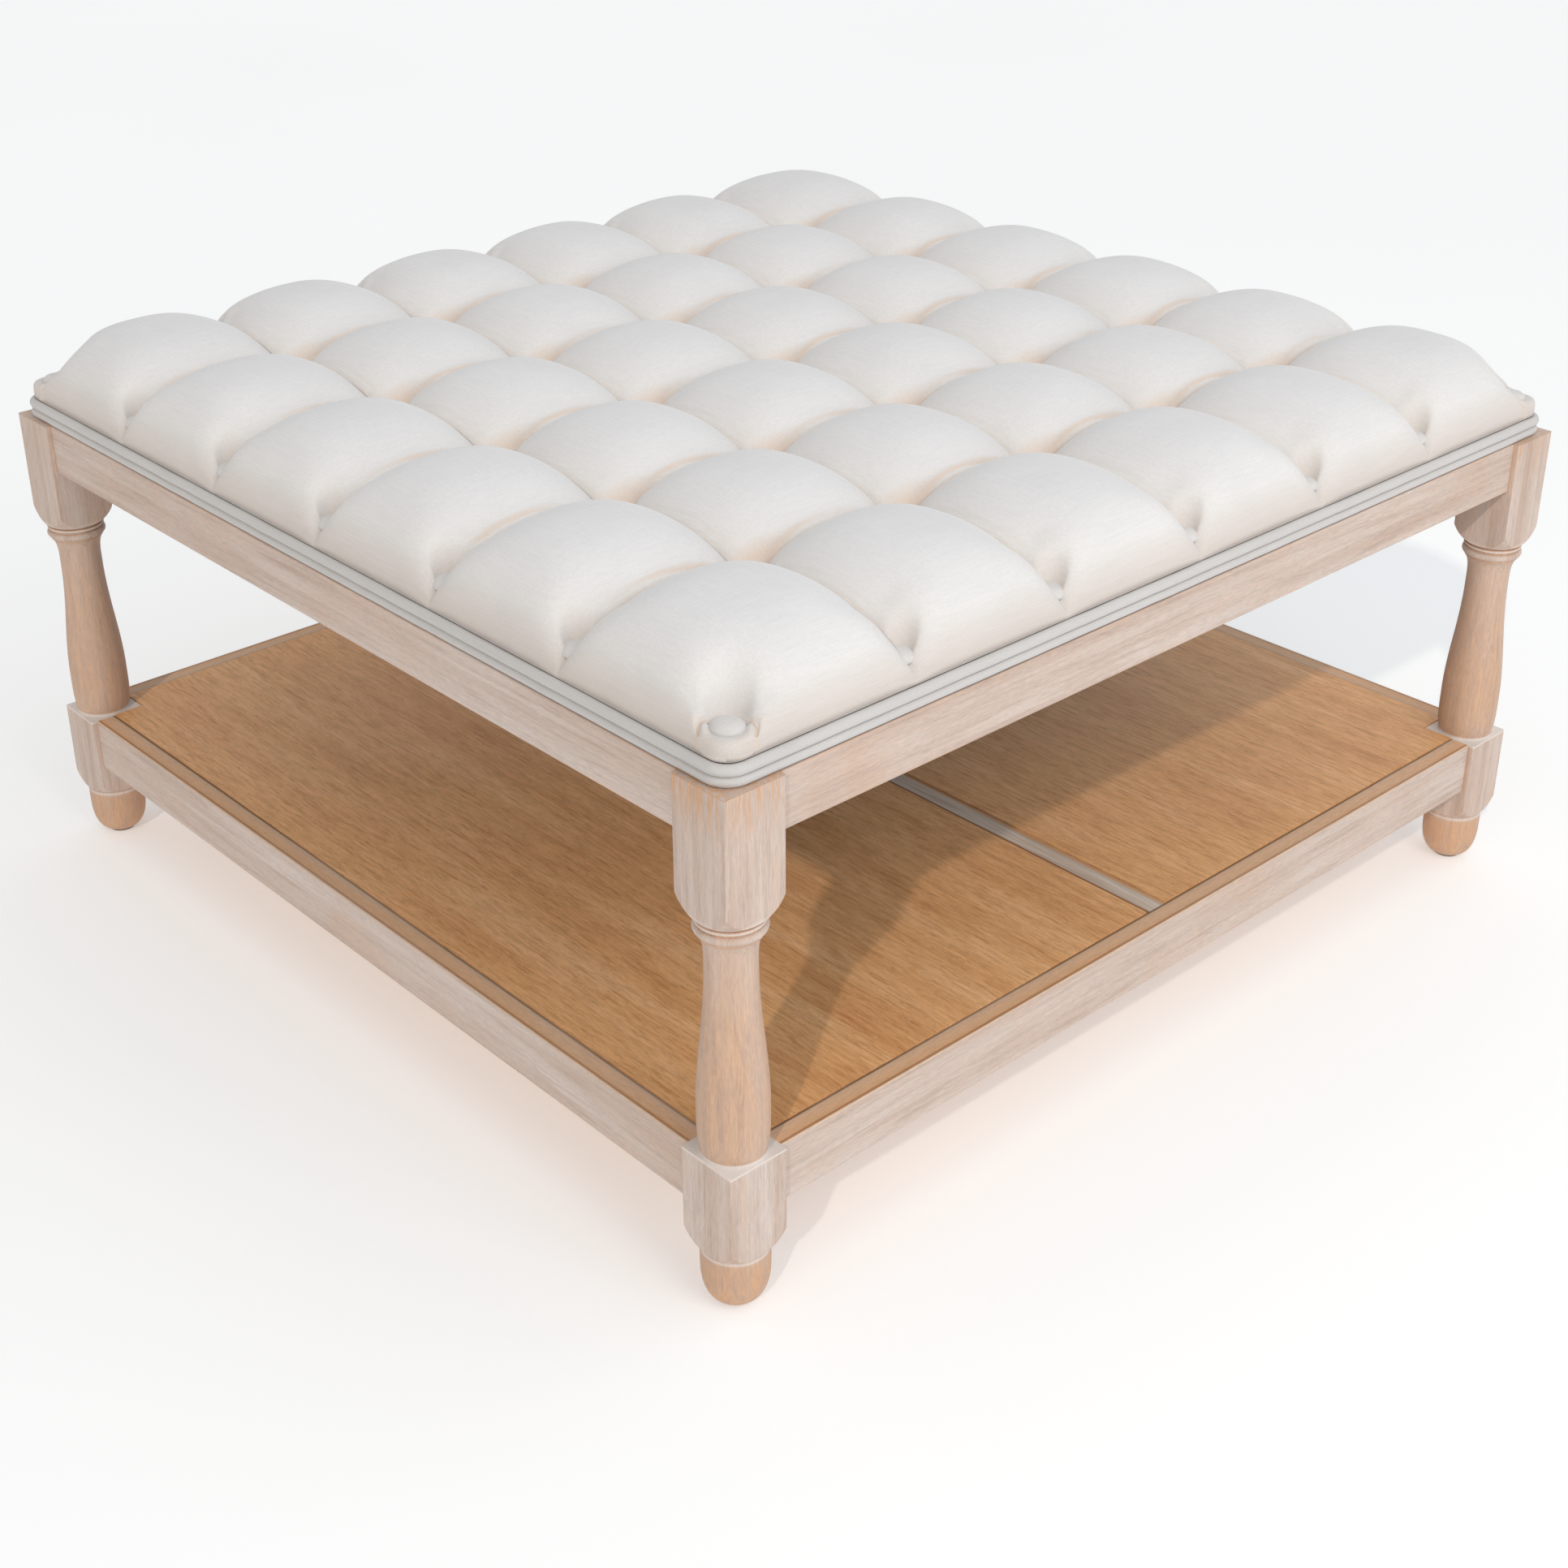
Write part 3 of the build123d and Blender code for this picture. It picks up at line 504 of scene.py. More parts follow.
def dull_cloth(name, shade, scale):
    """Matt fibres in one shade: cambric, felt or twine."""
    finish = Finish(name)
    fibres = finish.noise(finish.place(), scale, 4, 0.65)
    light = tuple(min(part * 1.35 + 0.01, 1.0) for part in shade)
    skin = finish.ramp(fibres, [(0.35, shade), (0.7, light)])
    return finish.surface(Base_Color=skin, Roughness=0.92, Normal=finish.bump(fibres, 0.0003, 0.5))


def zinc(name):
    """Zinc-plated steel with the blotches of its plating."""
    finish = Finish(name)
    blotches = finish.noise(finish.place(), 380, 3, 0.5)
    skin = finish.ramp(blotches, [(0.35, (0.50, 0.51, 0.53)), (0.65, (0.68, 0.69, 0.71))])
    rough = finish.ramp(blotches, [(0.3, 0.28), (0.7, 0.42)])
    return finish.surface(Base_Color=skin, Metallic=1.0, Roughness=rough)


def moulded(name, shade):
    """Moulded nylon with a fine grain."""
    finish = Finish(name)
    grains = finish.noise(finish.place(), 900, 3, 0.5)
    light = tuple(part * 1.3 for part in shade)
    skin = finish.ramp(grains, [(0.35, shade), (0.65, light)])
    return finish.surface(Base_Color=skin, Roughness=0.55, Normal=finish.bump(grains, 0.0001, 0.3))


limed_leg = limed_wood("limed_leg", "z", LEG_RINGS, LEG_POOLS, WORN_TOP)
limed_rail_x = limed_wood("limed_rail_along_x", "x", joint=post_face)
limed_rail_y = limed_wood("limed_rail_along_y", "y", joint=post_face)
limed_shelf_rail_x = limed_wood(
    "limed_shelf_rail_along_x", "x", joint=post_face, brown_top=rail_face)
limed_shelf_rail_y = limed_wood(
    "limed_shelf_rail_along_y", "y", joint=post_face, brown_top=rail_face)
oak = shelf_oak("shelf_oak", "x")
grey_rail = centre_rail_wood("grey_washed_strip", "x")
beech = bare_wood("bare_beech", (0.68, 0.50, 0.33), (0.50, 0.33, 0.20), "x")
plywood = bare_wood("birch_plywood", (0.70, 0.55, 0.38), (0.55, 0.40, 0.26), "x")
cream_linen = linen("cream_linen")
black_cambric = dull_cloth("black_cambric", (0.02, 0.02, 0.02), 500)
grey_felt = dull_cloth("grey_felt", (0.46, 0.45, 0.42), 350)
twine = dull_cloth("waxed_twine", (0.58, 0.50, 0.36), 900)
zinc_steel = zinc("zinc_plate")
nylon = moulded("brown_nylon", (0.15, 0.12, 0.10))

# Each node takes the finish of the first name here that its own name starts with
NODE_FINISH = {
    "leg_": limed_leg,
    "apron_front": limed_rail_x, "apron_back": limed_rail_x,
    "apron_left": limed_rail_y, "apron_right": limed_rail_y,
    "shelf_rail_front": limed_shelf_rail_x, "shelf_rail_back": limed_shelf_rail_x,
    "shelf_rail_left": limed_shelf_rail_y, "shelf_rail_right": limed_shelf_rail_y,
    "shelf_panel": oak, "shelf_centre_rail": grey_rail,
    "corner_block_screws": zinc_steel, "corner_block_": beech,
    "seat_brace_dowels": beech, "seat_brace": beech,
    "apron_dowels": beech, "shelf_rail_dowels": beech, "centre_rail_dowels": beech,
    "hanger_bolts": zinc_steel, "bolt_washers": zinc_steel, "bolt_nuts": zinc_steel,
    "seat_screws": zinc_steel, "seat_board": plywood, "base_felt": grey_felt,
    "under_cloth": black_cambric, "tufted_cover": cream_linen, "cover_buttons": cream_linen,
    "double_welt": cream_linen, "button_ties": twine, "tie_toggles": nylon, "foot_glides": nylon,
}
for name, piece in nodes.items():
    finish = next(NODE_FINISH[start] for start in NODE_FINISH if name.startswith(start))
    if not piece.material_slots:
        piece.data.materials.append(finish)
    for place in piece.material_slots:
        place.material = finish


# Tufted cushion: places among the buttons

def nearest_button(x, y):
    """The nearest button's centre."""
    column = round((x + BUTTON_LINE) / PITCH)
    row = round((y + BUTTON_LINE) / PITCH)
    return column * PITCH - BUTTON_LINE, row * PITCH - BUTTON_LINE


def button_distance(x, y):
    near_x, near_y = nearest_button(x, y)
    return math.hypot(x - near_x, y - near_y)


def outer_row(place):
    """Whether a row of buttons is one of the outer ones."""
    return abs(place) > BUTTON_LINE - 0.001


def from_line(place):
    """Signed distance from a point to the nearest row of buttons inside the outer ones."""
    row = min(max(round((place + BUTTON_LINE) / PITCH), 1), TUFTS - 1)
    return place + BUTTON_LINE - row * PITCH


def cell_place(place):
    """Where a point is between two rows of buttons, from -1 to 1."""
    cell = min(max(math.floor((place + BUTTON_LINE) / PITCH), 0), TUFTS - 1)
    return min(max(2 * (place + BUTTON_LINE - cell * PITCH) / PITCH - 1, -1.0), 1.0)


# Tufted cushion: heights of the cloth

def crease_arch(along):
    """Rise of a crease between its two buttons, from 0 at each to 1 halfway."""
    return max(1 - abs(along) ** 1.6, 0.0) ** 0.8


def pillow(across_x, across_y):
    """Rise of a pillow over its buttons: round crown, V creases, corners drawn down."""
    round_x = max(1 - abs(across_x) ** ROUNDNESS, 0.0)
    round_y = max(1 - abs(across_y) ** ROUNDNESS, 0.0)
    creases = crease_arch(across_x) ** 2 * across_y ** 4 + crease_arch(across_y) ** 2 * across_x ** 4
    return math.sqrt(round_x * round_y + VALLEY_SHARE * creases)


def roll(inset):
    """Rise of the outer pillows from the piping in to their crowns."""
    return math.sqrt(max(1 - max(1 - inset / ROLL_DEPTH, 0.0) ** FLANK_ROUNDNESS, 0.0))


def border_height(inset, across):
    """The outer pillows: a full roll down to the piping, nicked by a pleat at each button."""
    if inset >= SHOULDER:
        along = 1 - min((inset - SHOULDER) / (PITCH / 2), 1.0)
        low = TUFT_Z + VALLEY_RISE * crease_arch(along)
    else:
        low = SEAM_Z + (TUFT_Z - SEAM_Z) * max(inset / SHOULDER, 0.0) ** 0.4
    full = SEAM_Z + (CROWN - SEAM_Z) * roll(inset)
    flat = VALLEY_SHARE ** 0.5
    rounded = math.sqrt(1 - abs(across) ** ROUNDNESS + VALLEY_SHARE * across ** 4)
    inner = (rounded - flat) / (1 - flat)
    outer = 1 - abs(across) ** PLEAT_SHARPNESS
    share = smooth(*PLEAT_FADE, inset)
    return low + max(full - low, 0.0) * (inner * (1 - share) + outer * share)


def cushion_height(x, y):
    """Height of the smooth pillows, before the tucks, pads and button wells."""
    inset_x = SEAM_LINE - abs(x)
    inset_y = SEAM_LINE - abs(y)
    if inset_x < ROLL_DEPTH and inset_y < ROLL_DEPTH:
        from_button = math.hypot(inset_x - SHOULDER, inset_y - SHOULDER)
        dip = CORNER_DIP * ridge(from_button, CORNER_DIP_WIDTH)
        dip *= smooth(0.0, CORNER_DIP_EASE, min(inset_x, inset_y))
        return SEAM_Z + (CROWN - SEAM_Z) * roll(inset_x) * roll(inset_y) - dip
    if inset_x < ROLL_DEPTH:
        return border_height(inset_x, cell_place(y))
    if inset_y < ROLL_DEPTH:
        return border_height(inset_y, cell_place(x))
    return TUFT_Z + CROWN_RISE * pillow(cell_place(x), cell_place(y))


def tuck(x, y):
    """How far the cloth is folded under beside an inner button, from 0 to 1."""
    near_x, near_y = nearest_button(x, y)
    if outer_row(near_x) or outer_row(near_y):
        return 0.0
    deepest = 0.0
    for turn in (1, -1):
        off_x, off_y = (x - near_x) * turn, (y - near_y) * turn
        if off_y < 0:
            continue
        if off_x <= 0:
            deepest = max(deepest, 1 + off_x / TUCK_WIDTH - off_y / TUCK_LENGTH)
        elif off_x < TUCK_BACK:
            deepest = max(deepest, (1 - off_y / TUCK_LENGTH) * (1 - off_x / TUCK_BACK))
    return min(max(3 * deepest, 0.0), 1.0)


def pad_place(x, y):
    """A point's distance out from a corner pad's edge, and how far it is beside the button."""
    over_x, over_y = abs(x) - BUTTON_LINE, abs(y) - BUTTON_LINE
    side = abs(over_x - over_y) / math.sqrt(2)
    across = (side / PAD_HALF) ** 4
    above = (max(PAD_TOP - (over_x + over_y) / math.sqrt(2), 0.0) / PAD_ROUND) ** 4
    share = across / max(across + above, 1e-9)
    reach = PAD_HALF * share + PAD_ROUND * (1 - share)
    return ((across + above) ** 0.25 - 1) * reach, side


def pad_share(x, y):
    """1 on a corner pad, and 0 elsewhere."""
    return smooth(PAD_EDGE, -PAD_EDGE, pad_place(x, y)[0])


def pad_height(inset, side):
    """The pad's face: it rises steeply from the seam, and swells beside the button."""
    lobe = PAD_LOBE * ridge(side, PAD_LOBE_WIDTH, PAD_LOBE_PLACE) * smooth(*PAD_LOBE_EASE, inset)
    rise = math.sqrt(max(1 - max(1 - inset / PAD_DEPTH, 0.0) ** 2, 0.0))
    return SEAM_Z + PAD_RISE * rise + lobe


def pad_pleat(x, y):
    """1 in the pleats that close the pad's sides."""
    return ridge(pad_place(x, y)[0], PAD_PLEAT_WIDTH)


def button_pull(x, y, height):
    """Draws the cloth down round the nearest button: closed over the inner ones, open at the edge."""
    near_x, near_y = nearest_button(x, y)
    off_x, off_y = x - near_x, y - near_y
    if outer_row(near_x) and outer_row(near_y):
        steepness, radius = CORNER_WELL
    elif outer_row(near_x):
        steepness, radius = EDGE_WELL
        off_y *= 1 if off_y > 0 else EDGE_WELL_PINCH
    elif outer_row(near_y):
        steepness, radius = EDGE_WELL
        off_x *= 1 if off_x < 0 else EDGE_WELL_PINCH
    else:
        steepness, radius = INNER_WELL
    well = TUFT_Z + steepness * max(math.hypot(off_x, off_y) - radius, 0.0)
    low = min(height, well)
    blend = math.exp(-(height - low) / WELL_SOFTNESS) + math.exp(-(well - low) / WELL_SOFTNESS)
    return low - WELL_SOFTNESS * math.log(blend)


# Tufted cushion: the cloth

def grid_lines():
    """Places of the cushion's mesh lines: close together at the creases."""
    places = []
    for tuft in range(TUFTS):
        start = -BUTTON_LINE + tuft * PITCH
        for step in range(PILLOW_LINES):
            share = step / PILLOW_LINES
            crowded = share - CROWDING * math.sin(2 * math.pi * share) / (2 * math.pi)
            places.append(start + PITCH * crowded)
    places.append(BUTTON_LINE)
    steps = range(1, SHOULDER_LINES + 1)
    outer = [BUTTON_LINE + SHOULDER * (step / SHOULDER_LINES) for step in steps]
    return [-place for place in reversed(outer)] + places + outer


def round_corner(x, y):
    """Draws a point of the square corner in to the rounded one."""
    over_x, over_y = abs(x) - CORNER_CENTRE, abs(y) - CORNER_CENTRE
    if over_x <= 0 or over_y <= 0:
        return x, y
    pull = max(over_x, over_y) / math.hypot(over_x, over_y)
    return (math.copysign(CORNER_CENTRE + over_x * pull, x),
            math.copysign(CORNER_CENTRE + over_y * pull, y))


def cloth_place(x, y):
    """Where a point of the flat cloth lies on the cushion."""
    height = cushion_height(x, y) - TUCK_DEPTH * tuck(x, y)
    inset = SEAM_LINE - max(abs(x), abs(y))
    share = pad_share(x, y)
    height += (pad_height(inset, pad_place(x, y)[1]) - height) * share
    swell = PAD_SWELL * share * math.sin(math.pi * min(inset / PAD_DEPTH, 1.0))
    x, y = round_corner(x, y)
    height = button_pull(x, y, height)
    out = Vector((max(abs(x) - BUTTON_LINE, 0.0), max(abs(y) - BUTTON_LINE, 0.0), 0))
    if out.length > 0:
        out.normalize()
    return x + math.copysign(out.x * swell, x), y + math.copysign(out.y * swell, y), height


def top_sheet():
    """The cushion's cloth as cut: pillows, creases and button wells, open below."""
    lines = grid_lines()
    count = len(lines) - 1
    work = bmesh.new()
    bmesh.ops.create_grid(work, x_segments=count, y_segments=count, size=1.0)
    for vert in work.verts:
        column = round((vert.co.x + 1) / 2 * count)
        row = round((vert.co.y + 1) / 2 * count)
        vert.co = cloth_place(lines[column], lines[row])
    return finished(work, "tufted_cushion", cream_linen)


def is_held(spot):
    """Whether a button, crease, fold or the seam holds this point of the cloth."""
    on_rim = min(SEAM_LINE - abs(spot.x), SEAM_LINE - abs(spot.y)) < HELD_AT_RIM
    on_seam = spot.z < SEAM_Z + HELD_AT_SEAM
    on_crease = min(abs(from_line(spot.x)), abs(from_line(spot.y))) < HELD_AT_CREASE
    inside = max(abs(spot.x), abs(spot.y)) < BUTTON_LINE + 0.0005
    folded = tuck(spot.x, spot.y) > 0.3 or pad_share(spot.x, spot.y) > 0.2
    by_button = button_distance(spot.x, spot.y) < HELD_ROUND_BUTTON
    return on_rim or on_seam or folded or by_button or (on_crease and inside)


def puff(piece):
    """Lets air into the cloth while the buttons, creases and piping hold it."""
    start = [vert.co.copy() for vert in piece.data.vertices]
    held = piece.vertex_groups.new(name="held")
    for index, spot in enumerate(start):
        if is_held(spot):
            held.add([index], 1.0, "REPLACE")
    cloth = piece.modifiers.new("puff", "CLOTH")
    settings = cloth.settings
    settings.quality = 5
    settings.mass = 0.25
    settings.tension_stiffness = settings.compression_stiffness = 18
    settings.shear_stiffness = 6
    settings.bending_stiffness = 0.4
    settings.use_pressure = True
    settings.uniform_pressure_force = 1.2
    settings.shrink_min = -0.002
    settings.vertex_group_mass = "held"
    settings.effector_weights.gravity = 0
    scene = bpy.context.scene
    for moment in range(1, PUFF_MOMENTS + 1):
        scene.frame_set(moment)
    shaped = piece.evaluated_get(bpy.context.evaluated_depsgraph_get()).to_mesh()
    end = [vert.co.copy() for vert in shaped.vertices]
    piece.modifiers.remove(cloth)
    scene.frame_set(1)
    for vert, was, now in zip(piece.data.vertices, start, end):
        move = now - was
        if move.length > MOST_PUFF:
            move *= MOST_PUFF / move.length
        vert.co = was + move
    piece.vertex_groups.clear()


def fold_edge(way):
    """A pleat's edge beside a crease: a fine groove, then a lip."""
    return (ridge(way, FOLD_GROOVE[1], FOLD_GROOVE[0]), ridge(way, FOLD_LIP[1], FOLD_LIP[0]))


def press_creases(work):
    """Sinks the creases, folds and pad pleats, and marks where the linen gets painted warm shade:
    creases, tucks, folds, button wells, seam and pad pleats.
    """
    painted_crease_shade = work.verts.layers.float.new("painted_crease_shade")
    for vert in work.verts:
        x, y, _ = vert.co
        from_x, from_y = from_line(x), from_line(y)
        reach = button_distance(x, y)
        inset = SEAM_LINE - max(abs(x), abs(y))
        inside = smooth(-0.002, 0.012, inset)
        crease = ridge(min(abs(from_x), abs(from_y)), CREASE_WIDTH)
        vert.co.z -= CREASE_DEPTH * crease * inside * smooth(*CREASE_EASE, reach)
        broken = smooth(-0.45, 0.15, noise.noise(Vector((x * 9, y * 9, 3.0))))
        broken *= smooth(*FOLD_EASE, reach)
        broken *= smooth(0.0, 0.02, BUTTON_LINE - max(abs(x), abs(y)))
        groove, lip = fold_edge(-from_x)
        faint_groove, faint_lip = fold_edge(from_y)
        groove, lip = groove + FAINT_FOLD * faint_groove, lip + FAINT_FOLD * faint_lip
        pleat = pad_pleat(x, y)
        vert.co.z += (FOLD_LIP_RISE * lip - FOLD_GROOVE_DEPTH * groove) * broken
        vert.co.z -= PAD_PLEAT_DEPTH * pleat * smooth(0.0, 0.003, inset)
        # Painted warm shade: the strongest of the crease, tuck, fold, button well, seam and pleat
        # shares
        vert[painted_crease_shade] = max(
            MAIN_CREASE_PAINTED_SHADE * ridge(from_x, CREASE_PAINTED_SHADE_WIDTH) * inside,
            FAINT_CREASE_PAINTED_SHADE * ridge(from_y, CREASE_PAINTED_SHADE_WIDTH) * inside,
            TUCK_PAINTED_SHADE * tuck(x, y) * smooth(*TUCK_PAINTED_SHADE_FADE, reach),
            FOLD_PAINTED_SHADE * min(groove, 1.0) * broken,
            BUTTON_PAINTED_SHADE * ridge(reach, BUTTON_PAINTED_SHADE_WIDTH),
            SEAM_PAINTED_SHADE * smooth(SEAM_PAINTED_SHADE_WIDTH, 0.0, inset),
            PLEAT_PAINTED_SHADE * pleat,
        )


def close_below(work):
    """Turns the cloth's rim down behind the piping and in, and closes the cushion."""
    rim = [edge for edge in work.edges if edge.is_boundary]
    for inward, drop in ((0.0, SEAM_Z - cover_low.z), (0.012, 0.0)):
        grown = bmesh.ops.extrude_edge_only(work, edges=rim)["geom"]
        rim = [item for item in grown if isinstance(item, bmesh.types.BMEdge) and item.is_boundary]
        for vert in {vert for edge in rim for vert in edge.verts}:
            vert.co.z -= drop
            vert.co.x -= math.copysign(min(inward, abs(vert.co.x)), vert.co.x)
            vert.co.y -= math.copysign(min(inward, abs(vert.co.y)), vert.co.y)
    bmesh.ops.contextual_create(work, geom=rim)


def make_cushion():
    piece = top_sheet()
    puff(piece)
    finer = piece.modifiers.new("finer", "SUBSURF")
    finer.levels = finer.render_levels = 1
    depsgraph = bpy.context.evaluated_depsgraph_get()
    smoother = bpy.data.meshes.new_from_object(piece.evaluated_get(depsgraph))
    piece.modifiers.remove(finer)
    work = bmesh.new()
    work.from_mesh(smoother)
    bpy.data.meshes.remove(smoother)
    press_creases(work)
    close_below(work)
    bmesh.ops.recalc_face_normals(work, faces=work.faces)
    work.to_mesh(piece.data)
    work.free()
    shade_smooth(piece.data)
    return piece


cushion = make_cushion()
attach(cushion, "root")
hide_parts("tufted_cover")


# Covered buttons

def make_buttons():
    work = bmesh.new()
    for row in range(TUFTS + 1):
        for column in range(TUFTS + 1):
            x, y = column * PITCH - BUTTON_LINE, row * PITCH - BUTTON_LINE
            centre = Vector((x, y, BUTTON_FLOOR))
            points = [work.verts.new(centre + Vector((out, 0, up))) for out, up in BUTTON_PROFILE]
            edges = [work.edges.new(pair) for pair in zip(points, points[1:])]
            bmesh.ops.spin(
                work, geom=points + edges, cent=centre, axis=(0, 0, 1), angle=2 * math.pi,
                steps=BUTTON_SIDES, use_merge=True,
            )
    bmesh.ops.remove_doubles(work, verts=work.verts, dist=1e-6)
    open_rims = [edge for edge in work.edges if edge.is_boundary]
    bmesh.ops.holes_fill(work, edges=open_rims, sides=BUTTON_SIDES)
    bmesh.ops.recalc_face_normals(work, faces=work.faces)
    return finished(work, "covered_buttons", cream_linen)


buttons = make_buttons()
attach(buttons, "root")
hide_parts("cover_buttons")


# Piped edge: two beads sewn side by side, and the waviness of their cord

CORD_WAVES = [(45, 0.00022), (160, 0.00008)]


def quarter_turns(count):
    return Matrix.Rotation(math.pi / 2 * count, 3, "Z")


def lengthen(work, ring):
    """Draws a bead's open end out, and gives the new end's edges and points."""
    grown = bmesh.ops.extrude_edge_only(work, edges=ring)["geom"]
    points = {item for item in grown if isinstance(item, bmesh.types.BMVert)}
    edges = [item for item in grown if isinstance(item, bmesh.types.BMEdge)]
    return [edge for edge in edges if points.issuperset(edge.verts)], list(points)


def sweep_bead(work, radius, level, sides=14, straight_steps=90, corner_steps=10):
    """Carries a round section once round the seat, straight runs and rounded corners in turn."""
    section = bmesh.ops.create_circle(work, segments=sides, radius=radius)["verts"]
    for vert in section:
        vert.co = (-CORNER_CENTRE, -BEAD_LINE + vert.co.x, level + vert.co.y)
    ring = list({edge for vert in section for edge in vert.link_edges})
    direction = Vector((1, 0, 0))
    for side in range(4):
        step = direction * (2 * CORNER_CENTRE / straight_steps)
        for _ in range(straight_steps):
            ring, points = lengthen(work, ring)
            bmesh.ops.translate(work, verts=points, vec=step)
        centre = Vector((CORNER_CENTRE, -CORNER_CENTRE, 0))
        centre.rotate(quarter_turns(side))
        for _ in range(corner_steps):
            ring, points = lengthen(work, ring)
            turn = quarter_turns(1 / corner_steps)
            bmesh.ops.rotate(work, verts=points, cent=centre, matrix=turn)
        direction.rotate(quarter_turns(1))
    bmesh.ops.remove_doubles(work, verts=work.verts, dist=1e-5)


def make_piping():
    """The lower bead and the upper one, each a little wavy as sewn cord is."""
    work = bmesh.new()
    sweep_bead(work, LOWER_BEAD, welt_low.z + LOWER_BEAD)
    sweep_bead(work, UPPER_BEAD, welt_high.z - UPPER_BEAD)
    for vert in work.verts:
        vert.co.z += sum(noise.noise(vert.co * rate) * rise for rate, rise in CORD_WAVES)
    bmesh.ops.recalc_face_normals(work, faces=work.faces)
    return finished(work, "piped_edge", cream_linen)


piping = make_piping()
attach(piping, "root")
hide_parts("double_welt")


# Dust cover under the seat board: tight at the brace, aprons and blocks, and slack between them

NEAR_BRACE = (0.016, 0.06)
NEAR_APRON = (0.398, 0.36)
NEAR_BLOCK = (0.735, 0.66)
DUST_COVER_SLACK = 0.0018
DUST_COVER_WAVE = 0.0008
DUST_COVER_LIFT = 0.0001
DUST_COVER_THICKNESS = 0.0004


def make_dust_cover():
    work = bmesh.new()
    bmesh.ops.create_grid(work, x_segments=64, y_segments=64, size=cloth_high.x)
    for vert in work.verts:
        x, y = abs(vert.co.x), abs(vert.co.y)
        free = smooth(*NEAR_BRACE, y) * smooth(*NEAR_APRON, x) * smooth(*NEAR_APRON, y)
        free *= smooth(*NEAR_BLOCK, x + y)
        slack = DUST_COVER_SLACK + DUST_COVER_WAVE * noise.noise(vert.co * 9)
        vert.co.z = cloth_low.z + DUST_COVER_LIFT - slack * free
    bmesh.ops.solidify(work, geom=work.faces[:], thickness=-DUST_COVER_THICKNESS)
    bmesh.ops.recalc_face_normals(work, faces=work.faces)
    return finished(work, "dust_cover", black_cambric)


dust_cover = make_dust_cover()
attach(dust_cover, "root")
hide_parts("under_cloth")


# Floor, lights and camera. Angles are in degrees, and the focal length in the photograph's pixels

FLOOR_REACH = 14.0
SUN_AZIMUTH = -60
SUN_HEIGHT = 34.5
PHOTO_WIDTH = 1932
FOCAL_LENGTH = 2784
CAMERA_PLACE = (1.2359, -1.1233, 0.9860)
CAMERA_AZIMUTH = 137.51
CAMERA_HEIGHT = -26.83
CAMERA_ROLL = -0.17


def direction_of(azimuth, height):
    """The way to a point in the sky, from its azimuth and height in degrees."""
    azimuth, height = math.radians(azimuth), math.radians(height)
    return Vector((
        math.cos(azimuth) * math.cos(height), math.sin(azimuth) * math.cos(height),
        math.sin(height),
    ))


def make_floor():
    finish = Finish("pale_floor")
    cloud = finish.noise(finish.place(), 0.8, 2, 0.5)
    shade = finish.ramp(cloud, [(0.3, (0.73, 0.745, 0.755)), (0.7, (0.75, 0.765, 0.775))])
    work = bmesh.new()
    bmesh.ops.create_grid(work, x_segments=8, y_segments=8, size=FLOOR_REACH)
    finished(work, "floor", finish.surface(
        Base_Color=shade, Roughness=0.9, Emission_Color=(1, 1, 1, 1), Emission_Strength=0.30,
    ))


def make_light(kind, name, energy, tint, place, target):
    """Aims a light from a place at a target."""
    lamp = bpy.data.lights.new(name, kind)
    lamp.energy = energy
    lamp.color = tint
    holder = bpy.data.objects.new(name, lamp)
    holder.location = place
    aim = Vector(target) - Vector(place)
    holder.rotation_euler = aim.to_track_quat("-Z", "Y").to_euler()
    bpy.context.scene.collection.objects.link(holder)
    return lamp


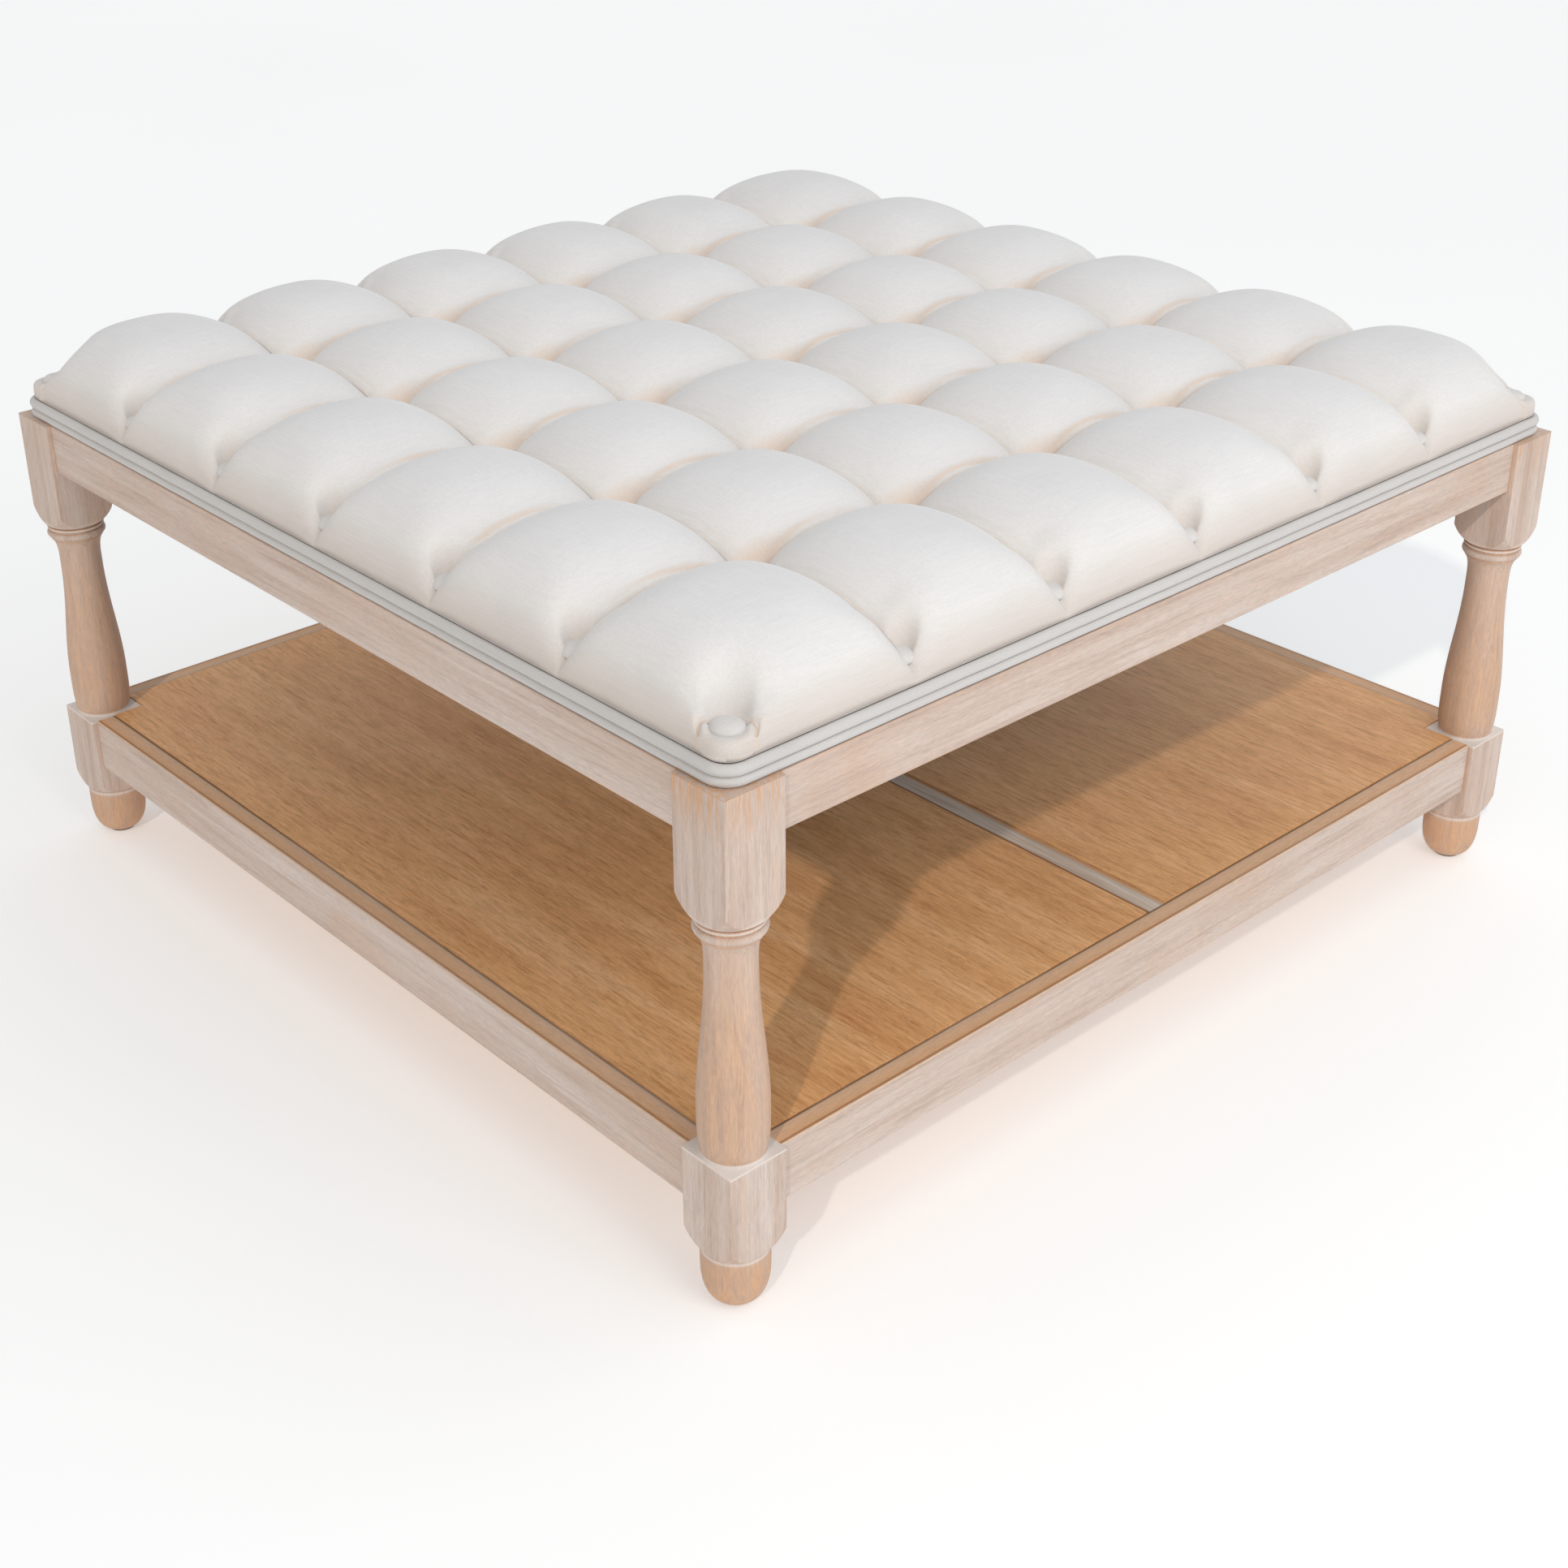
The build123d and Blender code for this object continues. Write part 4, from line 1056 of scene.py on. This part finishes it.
def make_lights():
    sun_place = direction_of(SUN_AZIMUTH, SUN_HEIGHT) * 4
    key = make_light("SUN", "key_light", 0.95, (1.0, 0.87, 0.74), sun_place, (0, 0, 0))
    key.angle = math.radians(1.6)
    softbox = make_light(
        "AREA", "right_softbox", 12, (1.0, 0.98, 0.96), (2.1, -0.3, 1.5), (0.2, 0, 0.3))
    softbox.shape = "DISK"
    softbox.size = 1.4


def make_studio():
    """Cool light from all round, stronger from behind and above; the camera sees plain white."""
    world = bpy.data.worlds.new("studio")
    bpy.context.scene.world = world
    world.use_nodes = True
    tree = world.node_tree
    whence = add_node(tree, "ShaderNodeTexCoord").outputs["Generated"]
    sockets = {0: whence, 1: (0.17, 0.23, 0.27)}
    bright_side = add_node(tree, "ShaderNodeVectorMath", sockets, operation="DOT_PRODUCT")
    sockets = {0: bright_side.outputs["Value"], 1: 0.50}
    strength = add_node(tree, "ShaderNodeMath", sockets, operation="ADD")
    glow = tree.nodes["Background"]
    glow.inputs["Color"].default_value = (0.95, 0.975, 1.0, 1.0)
    tree.links.new(strength.outputs[0], glow.inputs["Strength"])
    white = add_node(tree, "ShaderNodeBackground", {"Color": (1.0, 1.0, 1.0, 1.0)})
    seen = add_node(tree, "ShaderNodeLightPath").outputs["Is Camera Ray"]
    sockets = {0: seen, 1: glow.outputs[0], 2: white.outputs[0]}
    either = add_node(tree, "ShaderNodeMixShader", sockets)
    tree.links.new(either.outputs[0], tree.nodes["World Output"].inputs["Surface"])


def make_camera():
    """The photograph's camera."""
    lens = bpy.data.cameras.new("camera")
    lens.sensor_width = 36.0
    lens.lens = FOCAL_LENGTH / PHOTO_WIDTH * lens.sensor_width
    lens.shift_y = -0.06
    lens.clip_end = 60
    holder = bpy.data.objects.new("camera", lens)
    holder.location = CAMERA_PLACE
    forward = direction_of(CAMERA_AZIMUTH, CAMERA_HEIGHT)
    holder.rotation_euler = forward.to_track_quat("-Z", "Y").to_matrix().to_euler()
    holder.rotation_euler.rotate_axis("Z", math.radians(CAMERA_ROLL))
    bpy.context.scene.collection.objects.link(holder)
    bpy.context.scene.camera = holder


make_floor()
make_lights()
make_studio()
make_camera()
bpy.context.scene.view_settings.view_transform = "Standard"
